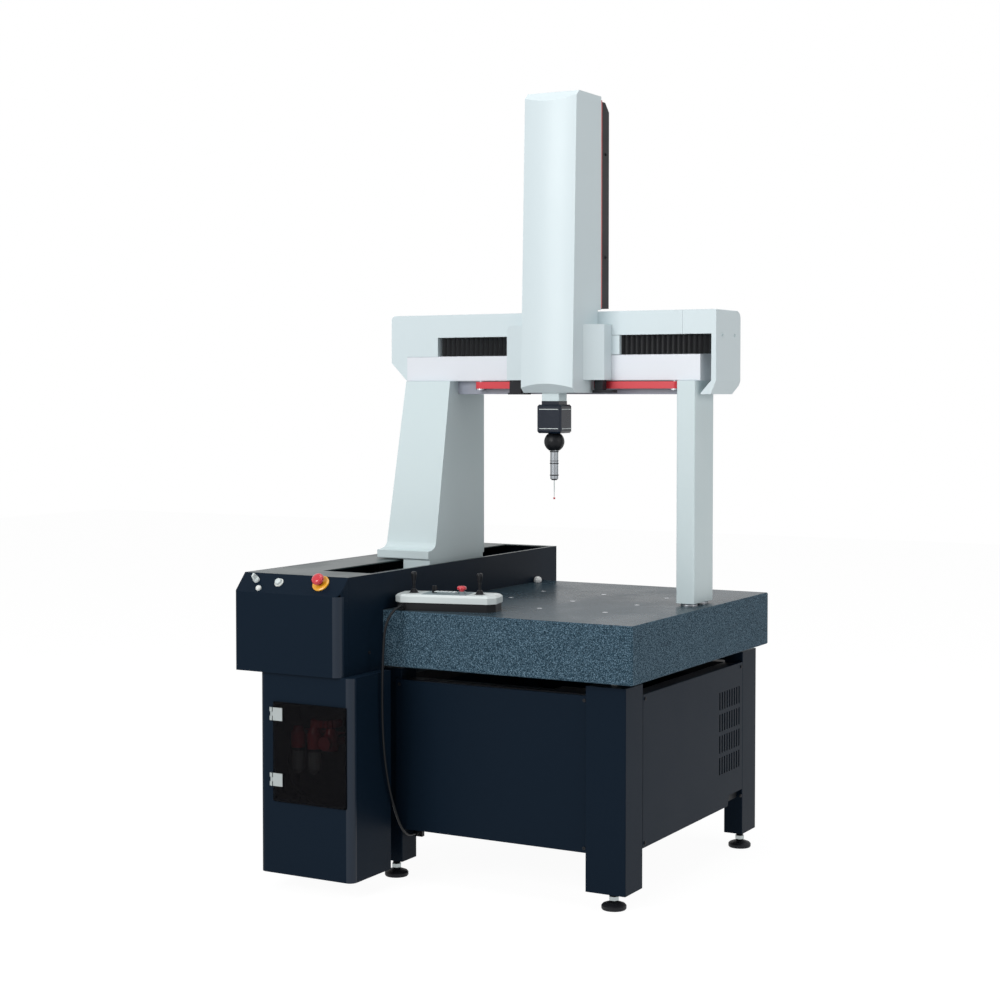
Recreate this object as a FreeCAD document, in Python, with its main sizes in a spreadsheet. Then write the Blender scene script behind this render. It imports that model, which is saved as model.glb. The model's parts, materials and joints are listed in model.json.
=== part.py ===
import FreeCAD, Part
import math
import os

import Sketcher
from FreeCAD import Placement, Rotation, Vector

# Moving-bridge coordinate measuring machine.
# Frame: X to the right, Y to the rear, Z up, origin on the floor at the middle of the outer box. Millimetres.

doc = FreeCAD.newDocument("coordinate_measuring_machine")
sheet = doc.addObject("Spreadsheet::Sheet", "dims")
NODES = []

# ------------------------------------------------------------------ sizes
SIZES = {
    # overall
    "width": 1100, "depth": 1230, "height": 2180,
    # sheet metal, seams and running clearances
    "sheet": 3, "seam": 0.5, "air_gap": 0.4, "clearance": 1,
    # granite table
    "table_top": 753, "granite_thick": 152, "granite_setback": 212, "granite_depth": 938,
    "granite_inset_left": 50, "granite_inset_right": 14, "granite_edge": 3,
    "insert_pitch": 200, "insert_radius": 3.4, "insert_depth": 20,
    "insert_first_x": -60, "insert_first_y": -160,
    # stand
    "stand_left": 278, "stand_right": 500, "leg_width": 115, "leg_depth": 106, "leg_front": 367,
    "narrow_leg": 57, "leg_wall": 6, "left_leg_width_low": 84, "stand_rear": 532,
    "foot_height": 50, "foot_radius": 33, "foot_neck": 11, "jack_height": 15,
    "jack_radius": 17, "jack_stem": 9, "rail_size": 40,
    "panel_bottom": 146, "panel_top": 557, "panel_fold": 12, "panel_recess": 18,
    "louvre_width": 8, "louvre_pitch": 18, "louvre_height": 50, "louvre_row_pitch": 62, "louvre_rows": 4,
    "louvre_columns": 9, "controller_length": 420, "controller_depth": 380, "controller_height": 240,
    # guideway housing
    "housing_width": 338, "housing_rise": 102, "housing_drop": 160, "slope_drop": 48, "slope_run": 44,
    "corner_round": 22, "slot_width": 160, "slot_rim": 13, "slot_front": 175, "slot_rear": 25,
    # air cabinet
    "cabinet_left": 69, "cabinet_width": 301, "cabinet_depth": 187,
    "cabinet_setback": 12, "cabinet_round": 20,
    "door_inset": 49, "door_bottom": 246, "door_width": 235, "door_height": 269,
    "door_thick": 5, "door_lap": 6,
    "hinge_height": 35, "hinge_pin": 3, "hinge_leaf": 2, "hinge_low": 59, "hinge_high": 236,
    "filter_pitch": 54, "filter_radius": 20, "bowl_radius": 18, "bowl_height": 72, "filter_level": 400,
    # console on the slope
    "stem_radius": 7, "estop_share": 0.62, "estop_radius": 17, "estop_height": 22, "estop_travel": 4,
    "collar_radius": 24, "start_radius": 9, "knob_radius": 9, "knob_height": 30,
    # pendant
    "pendant_length": 285, "pendant_depth": 105, "pendant_corner": 20, "pendant_base": 22,
    "pendant_height": 44, "pendant_turn": 14, "stick_height": 62, "stick_radius": 6, "boot_radius": 15,
    "cable_radius": 3.5, "hose_radius": 4.5,
    # bridge
    "bridge_front": 98, "bridge_depth": 179, "beam_depth": 164, "beam_bottom": 1377, "beam_height": 73,
    "channel_drop": 38, "channel_setback": 26, "bellows_height": 56, "bellows_depth": 14, "pleat": 10,
    "cover_height": 67, "beam_left": 447, "beam_right": 503, "cover_left": 502, "window_left": 340,
    "end_cover_seam": 450, "end_flange": 14, "end_taper": 16, "end_round": 24,
    "right_leg_right": 495, "right_leg_width": 55, "right_leg_front": 81, "right_leg_depth": 133,
    "pad_height": 7, "pad_radius": 24,
    "left_leg_right": 285, "left_leg_top_width": 152, "left_leg_foot_width": 169, "left_leg_top_front": 76,
    "left_leg_rear": 278, "left_leg_foot_front": 5, "flare": 22, "flange_thick": 22, "flange_lift": 3,
    "flange_front": 48, "flange_left": 461, "web_width": 90, "shoe_height": 45,
    "belt_height": 20, "belt_thick": 3, "pulley_radius": 12, "belt_left": 211, "belt_setback": 8,
    # carriage and column
    "ram_x": 108, "ram_y": -12, "ram_width": 54, "ram_deep": 50, "ram_bottom": 1320, "ram_length": 800,
    "ram_clearance": 5, "column_width": 162, "column_front": 50, "column_lean": 24, "column_bulge": 14,
    "column_bottom": 1343, "column_seam": 118, "trim_thick": 6, "column_rear": 171,
    "rear_cover_lift": 10, "rear_cover_drop": 14, "bevel_height": 26, "bevel_depth": 30,
    "wing_left": 80, "wing_right": 232, "wing_top": 1535, "wing_nose": 5, "wing_setback": 46,
    "saddle_left": 100, "saddle_right": 257, "clamp_setback": 10,
    # probe head
    "head_width": 76, "head_deep": 70, "head_height": 80, "head_neck": 10, "ball_radius": 28.6,
    "ball_drop": 24, "spindle_radius": 8, "head_bore": 18, "slot_half": 13, "hub_radius": 19,
    "module_radius": 11.3, "module_bottom": 1098, "stylus_radius": 1.5, "tip_radius": 3, "tip_bottom": 1044,
}
for row, (name, number) in enumerate(SIZES.items(), start=1):
    sheet.set(f"A{row}", str(number))
    sheet.setAlias(f"A{row}", name)
doc.recompute()


class Size:
    """A length that keeps both its number and the spreadsheet expression it comes from."""

    def __init__(self, number, text):
        self.number = number
        self.text = text

    def _join(self, other, sign, number):
        return Size(number, f"({self.text} {sign} {other.text})")

    def __add__(self, other):
        other = size(other)
        return self._join(other, "+", self.number + other.number)

    def __sub__(self, other):
        other = size(other)
        return self._join(other, "-", self.number - other.number)

    def __mul__(self, other):
        other = size(other)
        return self._join(other, "*", self.number * other.number)

    def __truediv__(self, other):
        other = size(other)
        return self._join(other, "/", self.number / other.number)

    def __radd__(self, other):
        return size(other) + self

    def __rsub__(self, other):
        return size(other) - self

    def __rmul__(self, other):
        return size(other) * self

    def __neg__(self):
        return size(0) - self


def size(value):
    """Return value as a Size; a plain number becomes a constant."""
    return value if isinstance(value, Size) else Size(value, repr(value))


class Dims:
    """Gives each spreadsheet cell as a Size."""

    def __getattr__(self, name):
        return Size(float(SIZES[name]), f"dims.{name}")


D = Dims()


def bind(obj, prop, value):
    """Tie a property to a Size."""
    value = size(value)
    obj.setExpression(prop, value.text)


def place(obj, x, y, z):
    """Tie an object's position to three Sizes."""
    for axis, value in zip("xyz", (x, y, z)):
        bind(obj, f"Placement.Base.{axis}", value)


def node(obj, label):
    """Name a finished sub-part and put it on the list of files to write."""
    obj.Label = label
    NODES.append(obj)
    return obj


# ------------------------------------------------------------------ solids from primitives
def block(x, y, z):
    """A box between pairs of Sizes."""
    box = doc.addObject("Part::Box", "block")
    for prop, (low, high) in zip(("Length", "Width", "Height"), (x, y, z)):
        bind(box, prop, size(high) - low)
    place(box, x[0], y[0], z[0])
    return box


TURNS = {"Z": Rotation(), "X": Rotation(Vector(0, 1, 0), 90), "Y": Rotation(Vector(1, 0, 0), -90)}


def rod(x, y, z, radius, length, axis="Z"):
    """A cylinder that starts at a point and runs along +X, +Y or +Z."""
    cylinder = doc.addObject("Part::Cylinder", "rod")
    bind(cylinder, "Radius", radius)
    bind(cylinder, "Height", length)
    cylinder.Placement = Placement(Vector(), TURNS[axis])
    place(cylinder, x, y, z)
    return cylinder


def cone(x, y, z, low_radius, high_radius, length, axis="Z"):
    """A cone frustum that starts at a point and runs along +X, +Y or +Z."""
    frustum = doc.addObject("Part::Cone", "cone")
    bind(frustum, "Radius1", low_radius)
    bind(frustum, "Radius2", high_radius)
    bind(frustum, "Height", length)
    frustum.Placement = Placement(Vector(), TURNS[axis])
    place(frustum, x, y, z)
    return frustum


def ball(x, y, z, radius):
    """A sphere."""
    sphere = doc.addObject("Part::Sphere", "ball")
    bind(sphere, "Radius", radius)
    place(sphere, x, y, z)
    return sphere


def fuse(parts):
    """One solid from several that meet or overlap."""
    fusion = doc.addObject("Part::MultiFuse", "fusion")
    fusion.Shapes = parts
    fusion.Refine = True
    return fusion


def cut(base, tool):
    """The base with the tool taken away."""
    difference = doc.addObject("Part::Cut", "cut")
    difference.Base = base
    difference.Tool = tool
    difference.Refine = True
    return difference


def group(parts):
    """Several separate solids kept as one sub-part."""
    compound = doc.addObject("Part::Compound", "group")
    compound.Links = parts
    return compound


# ------------------------------------------------------------------ bodies from sketches
def new_body(name):
    return doc.addObject("PartDesign::Body", name)


def origin_plane(body, role):
    return next(item for item in body.Origin.OriginFeatures if item.Role == role)


def new_sketch(body, plane, offset):
    """A sketch on one of the body's own origin planes, moved along its normal."""
    sketch = body.newObject("Sketcher::SketchObject", "sketch")
    sketch.AttachmentSupport = [(origin_plane(body, plane), "")]
    sketch.MapMode = "FlatFace"
    bind(sketch, "AttachmentOffset.Base.z", offset)
    return sketch


def pin_point(sketch, line, end, point):
    """Dimension one end of a sketch line from the sketch's origin."""
    for kind, value in zip(("DistanceX", "DistanceY"), point):
        value = size(value)
        index = sketch.addConstraint(Sketcher.Constraint(kind, -1, 1, line, end, value.number))
        sketch.setExpression(f"Constraints[{index}]", value.text)


def outline(sketch, points, sagitta=None):
    """A closed outline with every corner dimensioned. sagitta = {side: rise} makes that side an arc."""
    flat = [Vector(size(u).number, size(v).number, 0) for u, v in points]
    sides = []
    for index, start in enumerate(flat):
        end = flat[(index + 1) % len(flat)]
        rise = (sagitta or {}).get(index)
        if rise is None:
            sides.append(sketch.addGeometry(Part.LineSegment(start, end), False))
            continue
        along = end - start
        outward = Vector(along.y, -along.x, 0).normalize()
        middle = (start + end) * 0.5 + outward * rise.number
        arc = Part.Arc(start, middle, end)
        sides.append(sketch.addGeometry(arc, False))
    for index, side in enumerate(sides):
        pin_outline_corner(sketch, sides, index, points, sagitta or {})


def arc_ends(sketch, side, start):
    """Which of an arc's two ends lies at the given corner: 1 or 2."""
    geometry = sketch.Geometry[side]
    first = geometry.StartPoint
    return (1, 2) if first.distanceToPoint(start) < 1e-6 else (2, 1)


def pin_outline_corner(sketch, sides, index, points, sagitta):
    """Join a side to the one before it and dimension the corner between them."""
    side, before = sides[index], sides[index - 1]
    corner = Vector(size(points[index][0]).number, size(points[index][1]).number, 0)
    here = arc_ends(sketch, side, corner)[0]
    there = arc_ends(sketch, before, corner)[0]
    sketch.addConstraint(Sketcher.Constraint("Coincident", side, here, before, there))
    pin_point(sketch, side, here, points[index])
    if index in sagitta:
        u0, v0 = points[index]
        u1, v1 = points[(index + 1) % len(points)]
        rise = sagitta[index]
        # The chord lies along the sketch's first axis, so its length is the difference in u.
        chord = size(u1) - u0
        radius = (chord * chord / 4 + rise * rise) / (2 * rise)
        constraint = sketch.addConstraint(Sketcher.Constraint("Radius", side, radius.number))
        sketch.setExpression(f"Constraints[{constraint}]", radius.text)


def circle(sketch, u, v, radius):
    """A circle with its centre and radius dimensioned."""
    u, v, radius = size(u), size(v), size(radius)
    shape = Part.Circle(Vector(u.number, v.number, 0), Vector(0, 0, 1), radius.number)
    ring = sketch.addGeometry(shape, False)
    pin_point(sketch, ring, 3, (u, v))
    index = sketch.addConstraint(Sketcher.Constraint("Radius", ring, radius.number))
    sketch.setExpression(f"Constraints[{index}]", radius.text)


def rectangle(u, v):
    """The four corners between two pairs of Sizes."""
    return [(u[0], v[0]), (u[1], v[0]), (u[1], v[1]), (u[0], v[1])]


def pad(body, plane, span, draw):
    """Add material over a span of the axis across the plane. draw(sketch) makes the outline."""
    low, high = span
    sketch = new_sketch(body, plane, -size(high) if plane == "XZ_Plane" else low)
    draw(sketch)
    feature = body.newObject("PartDesign::Pad", "pad")
    feature.Profile = sketch
    bind(feature, "Length", size(high) - low)
    doc.recompute()
    return feature


def pocket(body, plane, span, draw):
    """Remove material over a span of the axis across the plane, and make sure that some went."""
    low, high = span
    before = body.Shape.Volume
    sketch = new_sketch(body, plane, -size(low) if plane == "XZ_Plane" else high)
    draw(sketch)
    feature = body.newObject("PartDesign::Pocket", "pocket")
    feature.Profile = sketch
    bind(feature, "Length", size(high) - low)
    doc.recompute()
    if body.Shape.Volume >= before - 1e-3:
        raise RuntimeError(f"a pocket in {body.Name} cuts nothing")
    return feature


def dress(body, kind, prop, amount, chosen):
    """Fillet or chamfer the edges of the body's tip that chosen(edge) picks."""
    base = body.Tip
    names = [f"Edge{i}" for i, edge in enumerate(base.Shape.Edges, start=1) if chosen(edge)]
    if not names:
        raise RuntimeError(f"no edge to dress in {body.Name}")
    feature = body.newObject(f"PartDesign::{kind}", kind.lower())
    feature.Base = (base, names)
    bind(feature, prop, amount)
    doc.recompute()
    return feature


def fillet(body, amount, chosen):
    return dress(body, "Fillet", "Radius", amount, chosen)


def chamfer(body, amount, chosen):
    return dress(body, "Chamfer", "Size", amount, chosen)


def along(edge, axis):
    """True for a straight edge that runs along an axis."""
    if not isinstance(edge.Curve, Part.Line):
        return False
    return abs(abs(edge.tangentAt(edge.FirstParameter).dot(axis)) - 1) < 1e-6


def at(edge, x=None, y=None, z=None):
    """True when the edge's middle lies at the given coordinates."""
    middle = edge.CenterOfMass
    pairs = ((middle.x, x), (middle.y, y), (middle.z, z))
    return all(value is None or abs(found - size(value).number) < 0.05 for found, value in pairs)


UP = Vector(0, 0, 1)
ACROSS = Vector(1, 0, 0)
BACK = Vector(0, 1, 0)


def revolve(body, x, y, z, points):
    """A turned piece: the half outline (radius, height) goes round a vertical axis at a point."""
    sketch = new_sketch(body, "XZ_Plane", 0)
    outline(sketch, points)
    feature = body.newObject("PartDesign::Revolution", "revolution")
    feature.Profile = sketch
    feature.ReferenceAxis = (sketch, ["V_Axis"])
    feature.Angle = 360
    place(body, x, y, z)
    doc.recompute()
    return body


def turned(name, x, y, z, points):
    """A new turned body."""
    return revolve(new_body(name), x, y, z, points)


def plate(name, x, y, z):
    """A new body that is one rectangular pad."""
    body = new_body(name)
    pad(body, "XY_Plane", z, lambda sketch: outline(sketch, rectangle(x, y)))
    return body


# ------------------------------------------------------------------ shared levels
LEFT = -D.width / 2
RIGHT = D.width / 2
FRONT = -D.depth / 2
REAR = D.depth / 2

GRANITE_X = (LEFT + D.granite_inset_left, RIGHT - D.granite_inset_right)
GRANITE_Y = (FRONT + D.granite_setback, FRONT + D.granite_setback + D.granite_depth)
GRANITE_Z = (D.table_top - D.granite_thick, D.table_top)
LEG_TOP = GRANITE_Z[0] - D.jack_height

HOUSING_RIGHT = LEFT + D.housing_width
HOUSING_TOP = D.table_top + D.housing_rise
HOUSING_BOTTOM = D.table_top - D.housing_drop
SLOPE_Z = HOUSING_TOP - D.slope_drop
SLOPE_Y = FRONT + D.slope_run
SLOT_X = (HOUSING_RIGHT - D.slot_rim - D.slot_width, HOUSING_RIGHT - D.slot_rim)
SLOT_Y = (FRONT + D.slot_front, REAR - D.slot_rear)

CABINET_X = (LEFT + D.cabinet_left, LEFT + D.cabinet_left + D.cabinet_width)
CABINET_Y = (FRONT + D.cabinet_setback, FRONT + D.cabinet_setback + D.cabinet_depth)
DOOR_X = (CABINET_X[0] + D.door_inset, CABINET_X[0] + D.door_inset + D.door_width)
DOOR_Z = (D.door_bottom, D.door_bottom + D.door_height)

BEAM_X = (-D.beam_left, D.beam_right)
BEAM_Z = (D.beam_bottom, D.beam_bottom + D.beam_height)
BEAM_Y = (D.bridge_front, D.bridge_front + D.beam_depth)
CHANNEL_Y = D.bridge_front + D.channel_setback
CHANNEL_Z = D.beam_bottom - D.channel_drop
WINDOW_Z = (BEAM_Z[1], BEAM_Z[1] + D.bellows_height)
COVER_TOP = WINDOW_Z[1] + D.cover_height
COVER_REAR = D.bridge_front + D.bridge_depth
SADDLE_X = (-D.saddle_left, D.saddle_right)

COLUMN_X = (D.ram_x - D.column_width / 2, D.ram_x + D.column_width / 2)
BEAM_FACE = D.bridge_front - D.air_gap
COLUMN_TOP = D.height
HEAD_TOP = D.ram_bottom - D.head_neck
HEAD_BOTTOM = HEAD_TOP - D.head_height
BALL_Z = HEAD_BOTTOM - D.ball_drop


# ------------------------------------------------------------------ granite table and stand
def granite_table():
    body = new_body("Granite")
    pad(body, "XY_Plane", GRANITE_Z, lambda sketch: outline(sketch, rectangle(GRANITE_X, GRANITE_Y)))
    chamfer(body, D.granite_edge, lambda edge: True)

    def inserts(sketch):
        for column in range(3):
            for row in range(3):
                x = D.insert_first_x + D.insert_pitch * column
                y = D.insert_first_y + D.insert_pitch * row
                circle(sketch, x, y, D.insert_radius)

    pocket(body, "XY_Plane", (D.table_top - D.insert_depth, D.table_top), inserts)
    node(body, "granite_table")


def leg_spans():
    """The (x, y) spans of the four legs: front left, front right, rear left, rear right."""
    behind_panel = -D.leg_front + D.panel_recess + D.panel_fold
    leg_rear = -D.leg_front + D.leg_depth
    left, right, rear = -D.stand_left, D.stand_right, D.stand_rear
    return [
        ((left, left + D.left_leg_width_low), (behind_panel, leg_rear)),
        ((right - D.leg_width, right), (-D.leg_front, leg_rear)),
        ((left, left + D.narrow_leg), (rear - D.leg_depth, rear)),
        ((right - D.narrow_leg, right), (rear - D.leg_depth, rear)),
    ]


def middle(span):
    return (span[0] + span[1]) / 2


def stand():
    legs, feet, jacks = [], [], []
    for x, y in leg_spans():
        leg = plate("Leg", x, y, (D.foot_height, LEG_TOP))
        fillet(leg, D.sheet, lambda edge: along(edge, UP))
        wall = D.leg_wall
        inner = rectangle((x[0] + wall, x[1] - wall), (y[0] + wall, y[1] - wall))
        inside = (D.foot_height + wall, LEG_TOP - wall)
        pocket(leg, "XY_Plane", inside, lambda sketch: outline(sketch, inner))
        legs.append(leg)
        foot = [
            (0, 0), (D.foot_radius, 0), (D.foot_radius, 7), (D.foot_radius - 3, 10),
            (D.foot_neck + 3, 22), (D.foot_neck, 24), (D.foot_neck, D.foot_height), (0, D.foot_height),
        ]
        feet.append(turned("Foot", middle(x), middle(y), 0, foot))
        jack = [
            (0, 0), (D.jack_stem, 0), (D.jack_stem, D.jack_height - 6), (D.jack_radius, D.jack_height - 6),
            (D.jack_radius, D.jack_height), (0, D.jack_height),
        ]
        jacks.append(turned("Jack", middle(x), middle(y), LEG_TOP, jack))
    node(group(legs), "stand_legs")
    node(group(feet), "levelling_feet")
    node(group(jacks), "granite_jacks")


def stand_rails():
    """Welded tubes that tie the legs together behind the panels."""
    front_left, front_right, rear_left, rear_right = leg_spans()
    bar, top = D.rail_size, D.panel_top - D.clearance
    low = D.panel_bottom + D.panel_fold
    rails = []
    for z in ((low, low + bar), (top - bar - D.sheet, top - D.sheet)):
        front_y = (front_right[1][1] - bar, front_right[1][1])
        rear_y = (rear_left[1][0], rear_left[1][0] + bar)
        rails.append(block((front_left[0][1], front_right[0][0]), front_y, z))
        rails.append(block((rear_left[0][1], rear_right[0][0]), rear_y, z))
        right_x = (rear_right[0][0], rear_right[0][0] + bar)
        rails.append(block(right_x, (front_right[1][1], rear_right[1][0]), z))
        left_x = (front_left[0][0] + D.sheet, front_left[0][0] + D.sheet + bar)
        rails.append(block(left_x, (front_left[1][1], rear_left[1][0]), z))
    shelf_y = rear_left[1][0] + bar / 2 - D.controller_depth
    rails.append(block((left_x[1], right_x[0]), (shelf_y, shelf_y + bar), (low, low + bar)))
    rails.append(block((rear_left[0][1], rear_right[0][0]), rear_y, (LEG_TOP - bar / 2, LEG_TOP)))
    node(group(rails), "stand_rails")


def folded_panel(name, x, y, z, open_side):
    """A sheet panel folded back at its edges: a tray, open on the side named by open_side."""
    body = plate(name, x, y, z)
    wall = D.sheet - 1
    if open_side in ("+Y", "-Y"):
        inner = rectangle((x[0] + wall, x[1] - wall), (z[0] + wall, z[1] - wall))
        depth = (y[0] + wall, y[1]) if open_side == "+Y" else (y[0], y[1] - wall)
        plane = "XZ_Plane"
    else:
        inner = rectangle((y[0] + wall, y[1] - wall), (z[0] + wall, z[1] - wall))
        depth = (x[0], x[1] - wall) if open_side == "-X" else (x[0] + wall, x[1])
        plane = "YZ_Plane"
    pocket(body, plane, depth, lambda sketch: outline(sketch, inner))
    return body


def front_panel():
    face = -D.leg_front + D.panel_recess
    x = (-D.stand_left + D.left_leg_width_low - 12, D.stand_right - D.leg_width)
    z = (D.panel_bottom, D.panel_top)
    node(folded_panel("FrontPanel", x, (face, face + D.panel_fold), z, "+Y"), "front_panel")


def right_panel():
    """The side panel, notched at its lower corners and pierced by rows of cooling louvres."""
    y = (-D.leg_front + D.leg_depth, D.stand_rear - D.leg_depth)
    x = (D.stand_right - D.panel_fold, D.stand_right)
    z = (D.panel_bottom + 8, D.panel_top)
    body = folded_panel("RightPanel", x, y, z, "-X")
    notch = [
        (y[1] - 110, z[0]), (y[1], z[0]), (y[1], z[0] + 30), (y[1] - 100, z[0] + 30),
    ]
    pocket(body, "YZ_Plane", x, lambda sketch: outline(sketch, notch))

    def louvres(sketch):
        for row in range(int(SIZES["louvre_rows"])):
            for column in range(int(SIZES["louvre_columns"])):
                low = y[1] - 22 - D.louvre_pitch * column - D.louvre_width
                base = z[0] + 100 + D.louvre_row_pitch * row
                outline(sketch, rectangle((low, low + D.louvre_width), (base, base + D.louvre_height)))

    pocket(body, "YZ_Plane", x, louvres)
    node(body, "right_panel")


def rear_panels():
    """The plain panels that close the stand's left side and back."""
    front_left, front_right, rear_left, rear_right = leg_spans()
    z = (D.panel_bottom, D.panel_top)
    left_x = (-D.stand_left, -D.stand_left + D.sheet)
    left = plate("LeftPanel", left_x, (front_left[1][1], rear_left[1][0]), z)
    rear_y = (D.stand_rear - D.sheet, D.stand_rear)
    rear = plate("RearPanel", (rear_left[0][1], rear_right[0][0]), rear_y, z)
    node(group([left, rear]), "rear_panels")


def controller_box():
    """The motion controller, standing on the stand's lower rails."""
    front_left, front_right, rear_left, rear_right = leg_spans()
    x0 = middle((front_left[0][0], front_right[0][1])) - D.controller_length / 2
    y1 = rear_left[1][0] + D.rail_size / 2
    z0 = D.panel_bottom + D.panel_fold + D.rail_size
    x, y, z = (x0, x0 + D.controller_length), (y1 - D.controller_depth, y1), (z0, z0 + D.controller_height)
    body = plate("Controller", x, y, z)
    fillet(body, 6, lambda edge: along(edge, UP))
    node(body, "controller_box")


# ------------------------------------------------------------------ guideway housing
def housing_profile(inset):
    """The housing's side outline (y, z), moved inward by inset."""
    bottom, top = HOUSING_BOTTOM + inset, HOUSING_TOP - inset
    # The slope runs at about 45 degrees, so its corners move by 0.41 of the inset along each face.
    shift = 0.41 * inset
    return [
        (FRONT + inset, bottom), (REAR - inset, bottom), (REAR - inset, top),
        (SLOPE_Y + shift, top), (FRONT + inset, SLOPE_Z - shift),
    ]


def housing_shell():
    """The whole folded housing before it is divided into covers."""
    body = new_body("HousingShell")
    across = (LEFT, HOUSING_RIGHT)
    pad(body, "YZ_Plane", across, lambda sketch: outline(sketch, housing_profile(size(0))))
    fillet(body, D.corner_round, lambda edge: along(edge, UP) and at(edge, x=HOUSING_RIGHT, y=FRONT))
    fillet(body, D.sheet, lambda edge: along(edge, UP) and at(edge, x=LEFT, y=FRONT))
    inside = (LEFT + D.sheet, HOUSING_RIGHT - D.sheet)
    low_front = GRANITE_Y[0] - D.clearance
    low_rear = GRANITE_Y[1] + D.clearance
    saddle = rectangle((low_front, low_rear), (HOUSING_BOTTOM, D.table_top + D.clearance))
    over_granite = (LEFT + D.sheet, HOUSING_RIGHT)
    pocket(body, "YZ_Plane", over_granite, lambda sketch: outline(sketch, saddle))
    slot = rectangle(SLOT_X, SLOT_Y)
    pocket(body, "XY_Plane", (HOUSING_TOP - D.sheet, HOUSING_TOP), lambda sketch: outline(sketch, slot))
    pocket(body, "YZ_Plane", inside, lambda sketch: outline(sketch, housing_profile(D.sheet)))
    return body


def common(base, regions, label):
    """The part of base inside the regions, as a finished sub-part."""
    overlap = doc.addObject("Part::Common", "common")
    overlap.Base = base
    overlap.Tool = fuse(regions) if len(regions) > 1 else regions[0]
    return node(overlap, label)


def housing_covers():
    shell = housing_shell()
    outside, seam = D.sheet, D.seam
    x_all = (LEFT - outside, HOUSING_RIGHT + outside)
    z_all = (HOUSING_BOTTOM - outside, HOUSING_TOP + outside)
    x_left, x_right = LEFT + D.sheet, HOUSING_RIGHT - D.sheet
    z_floor, z_roof = HOUSING_BOTTOM + D.sheet, HOUSING_TOP - D.sheet
    y_rear = REAR - D.sheet
    side_y = (SLOPE_Y + seam, y_rear - seam)
    between = (x_left + seam, x_right - seam)
    front = [
        block(x_all, (FRONT - outside, SLOPE_Y), z_all),
        block(between, (FRONT, GRANITE_Y[0]), (z_all[0], z_floor)),
    ]
    rear = [
        block(x_all, (y_rear, REAR + outside), z_all),
        block(between, (GRANITE_Y[1], REAR), (z_all[0], z_floor)),
    ]
    common(shell, front, "housing_front_cover")
    common(shell, rear, "housing_rear_cover")
    common(shell, [block((LEFT - outside, x_left), side_y, z_all)], "housing_left_cover")
    common(shell, [block((x_right, HOUSING_RIGHT + outside), side_y, z_all)], "housing_right_cover")
    common(shell, [block(between, side_y, (z_roof, HOUSING_TOP + outside))], "housing_top_cover")


def housing_frame():
    """The bars inside the housing that the covers screw to, with brackets to the granite."""
    x_left, x_right = LEFT + D.sheet, HOUSING_RIGHT - D.sheet
    roof = HOUSING_TOP - D.sheet
    bar, wall = 20, D.sheet
    y = (SLOPE_Y, REAR - D.sheet)
    parts = [
        block((x_left, x_left + bar), y, (roof - bar, roof)),
        block((SLOT_X[1] + wall, x_right), y, (roof - bar, roof)),
        block((x_left, x_right), (y[0] - wall, y[0]), (HOUSING_BOTTOM + D.sheet, roof - bar / 2)),
    ]
    for share in (0.15, 0.5, 0.85):
        y0 = GRANITE_Y[0] + (GRANITE_Y[1] - GRANITE_Y[0]) * share
        parts.append(block((x_left, x_left + bar), (y0, y0 + bar), (D.table_top - bar, roof - bar)))
        level = (D.table_top - 2 * bar, D.table_top - bar)
        parts.append(block((x_left, GRANITE_X[0]), (y0, y0 + bar), level))
    node(fuse(parts), "housing_frame")


def y_drive():
    """The bridge's drive beside the slot: a toothed belt between two pulleys, and its motor."""
    x = LEFT + 75
    z = D.table_top + 40
    ends = (FRONT + 262, REAR - 130)
    parts = []
    for y in ends:
        parts.append(rod(x, y, D.table_top, 6, 64))
        parts.append(rod(x, y, z, 15, 20))
    parts.append(rod(x, ends[1], D.table_top + 64, 26, 30))
    run = fuse(parts[:2]), fuse(parts[2:])
    belts = [
        block((x - 18, x - 15), ends, (z, z + 18)),
        block((x + 15, x + 18), ends, (z, z + 18)),
    ]
    node(group(list(run) + belts), "y_drive")


# ------------------------------------------------------------------ air cabinet
def cabinet_shell():
    z = (D.foot_height, HOUSING_BOTTOM)
    body = plate("Cabinet", CABINET_X, CABINET_Y, z)
    fillet(body, D.cabinet_round, lambda edge: along(edge, UP) and at(edge, y=CABINET_Y[0]))
    opening = rectangle(
        (DOOR_X[0] + D.door_lap, DOOR_X[1] - D.door_lap), (DOOR_Z[0] + D.door_lap, DOOR_Z[1] - D.door_lap)
    )
    pocket(body, "XZ_Plane", (CABINET_Y[0], middle(CABINET_Y)), lambda sketch: outline(sketch, opening))
    wall = D.sheet
    inside = rectangle((CABINET_X[0] + wall, CABINET_X[1] - wall), (CABINET_Y[0] + wall, CABINET_Y[1] - wall))
    # The inner front corners are cut off, so that the rounded outer corners keep a full wall.
    hollow = chamfered(inside, D.cabinet_round)
    pocket(body, "XY_Plane", (z[0] + wall, z[1] - wall), lambda sketch: outline(sketch, hollow))
    node(body, "cabinet_shell")


def chamfered(corners, amount):
    """A rectangle's four corners with the two at its low v side cut off."""
    (u0, v0), (u1, _), _, (_, v1) = corners
    cut_off = amount - D.sheet
    return [
        (u0, v0 + cut_off), (u0 + cut_off, v0), (u1 - cut_off, v0), (u1, v0 + cut_off),
        (u1, v1), (u0, v1),
    ]


def window_door():
    """A tinted sheet that covers the cabinet's opening."""
    y = (CABINET_Y[0] - D.air_gap - D.door_thick, CABINET_Y[0] - D.air_gap)
    body = plate("Door", DOOR_X, y, DOOR_Z)
    fillet(body, 4, lambda edge: along(edge, BACK))
    node(body, "window_door")


def hinge_levels():
    return [(DOOR_Z[0] + level - D.hinge_height / 2, DOOR_Z[0] + level + D.hinge_height / 2)
            for level in (D.hinge_low, D.hinge_high)]


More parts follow.
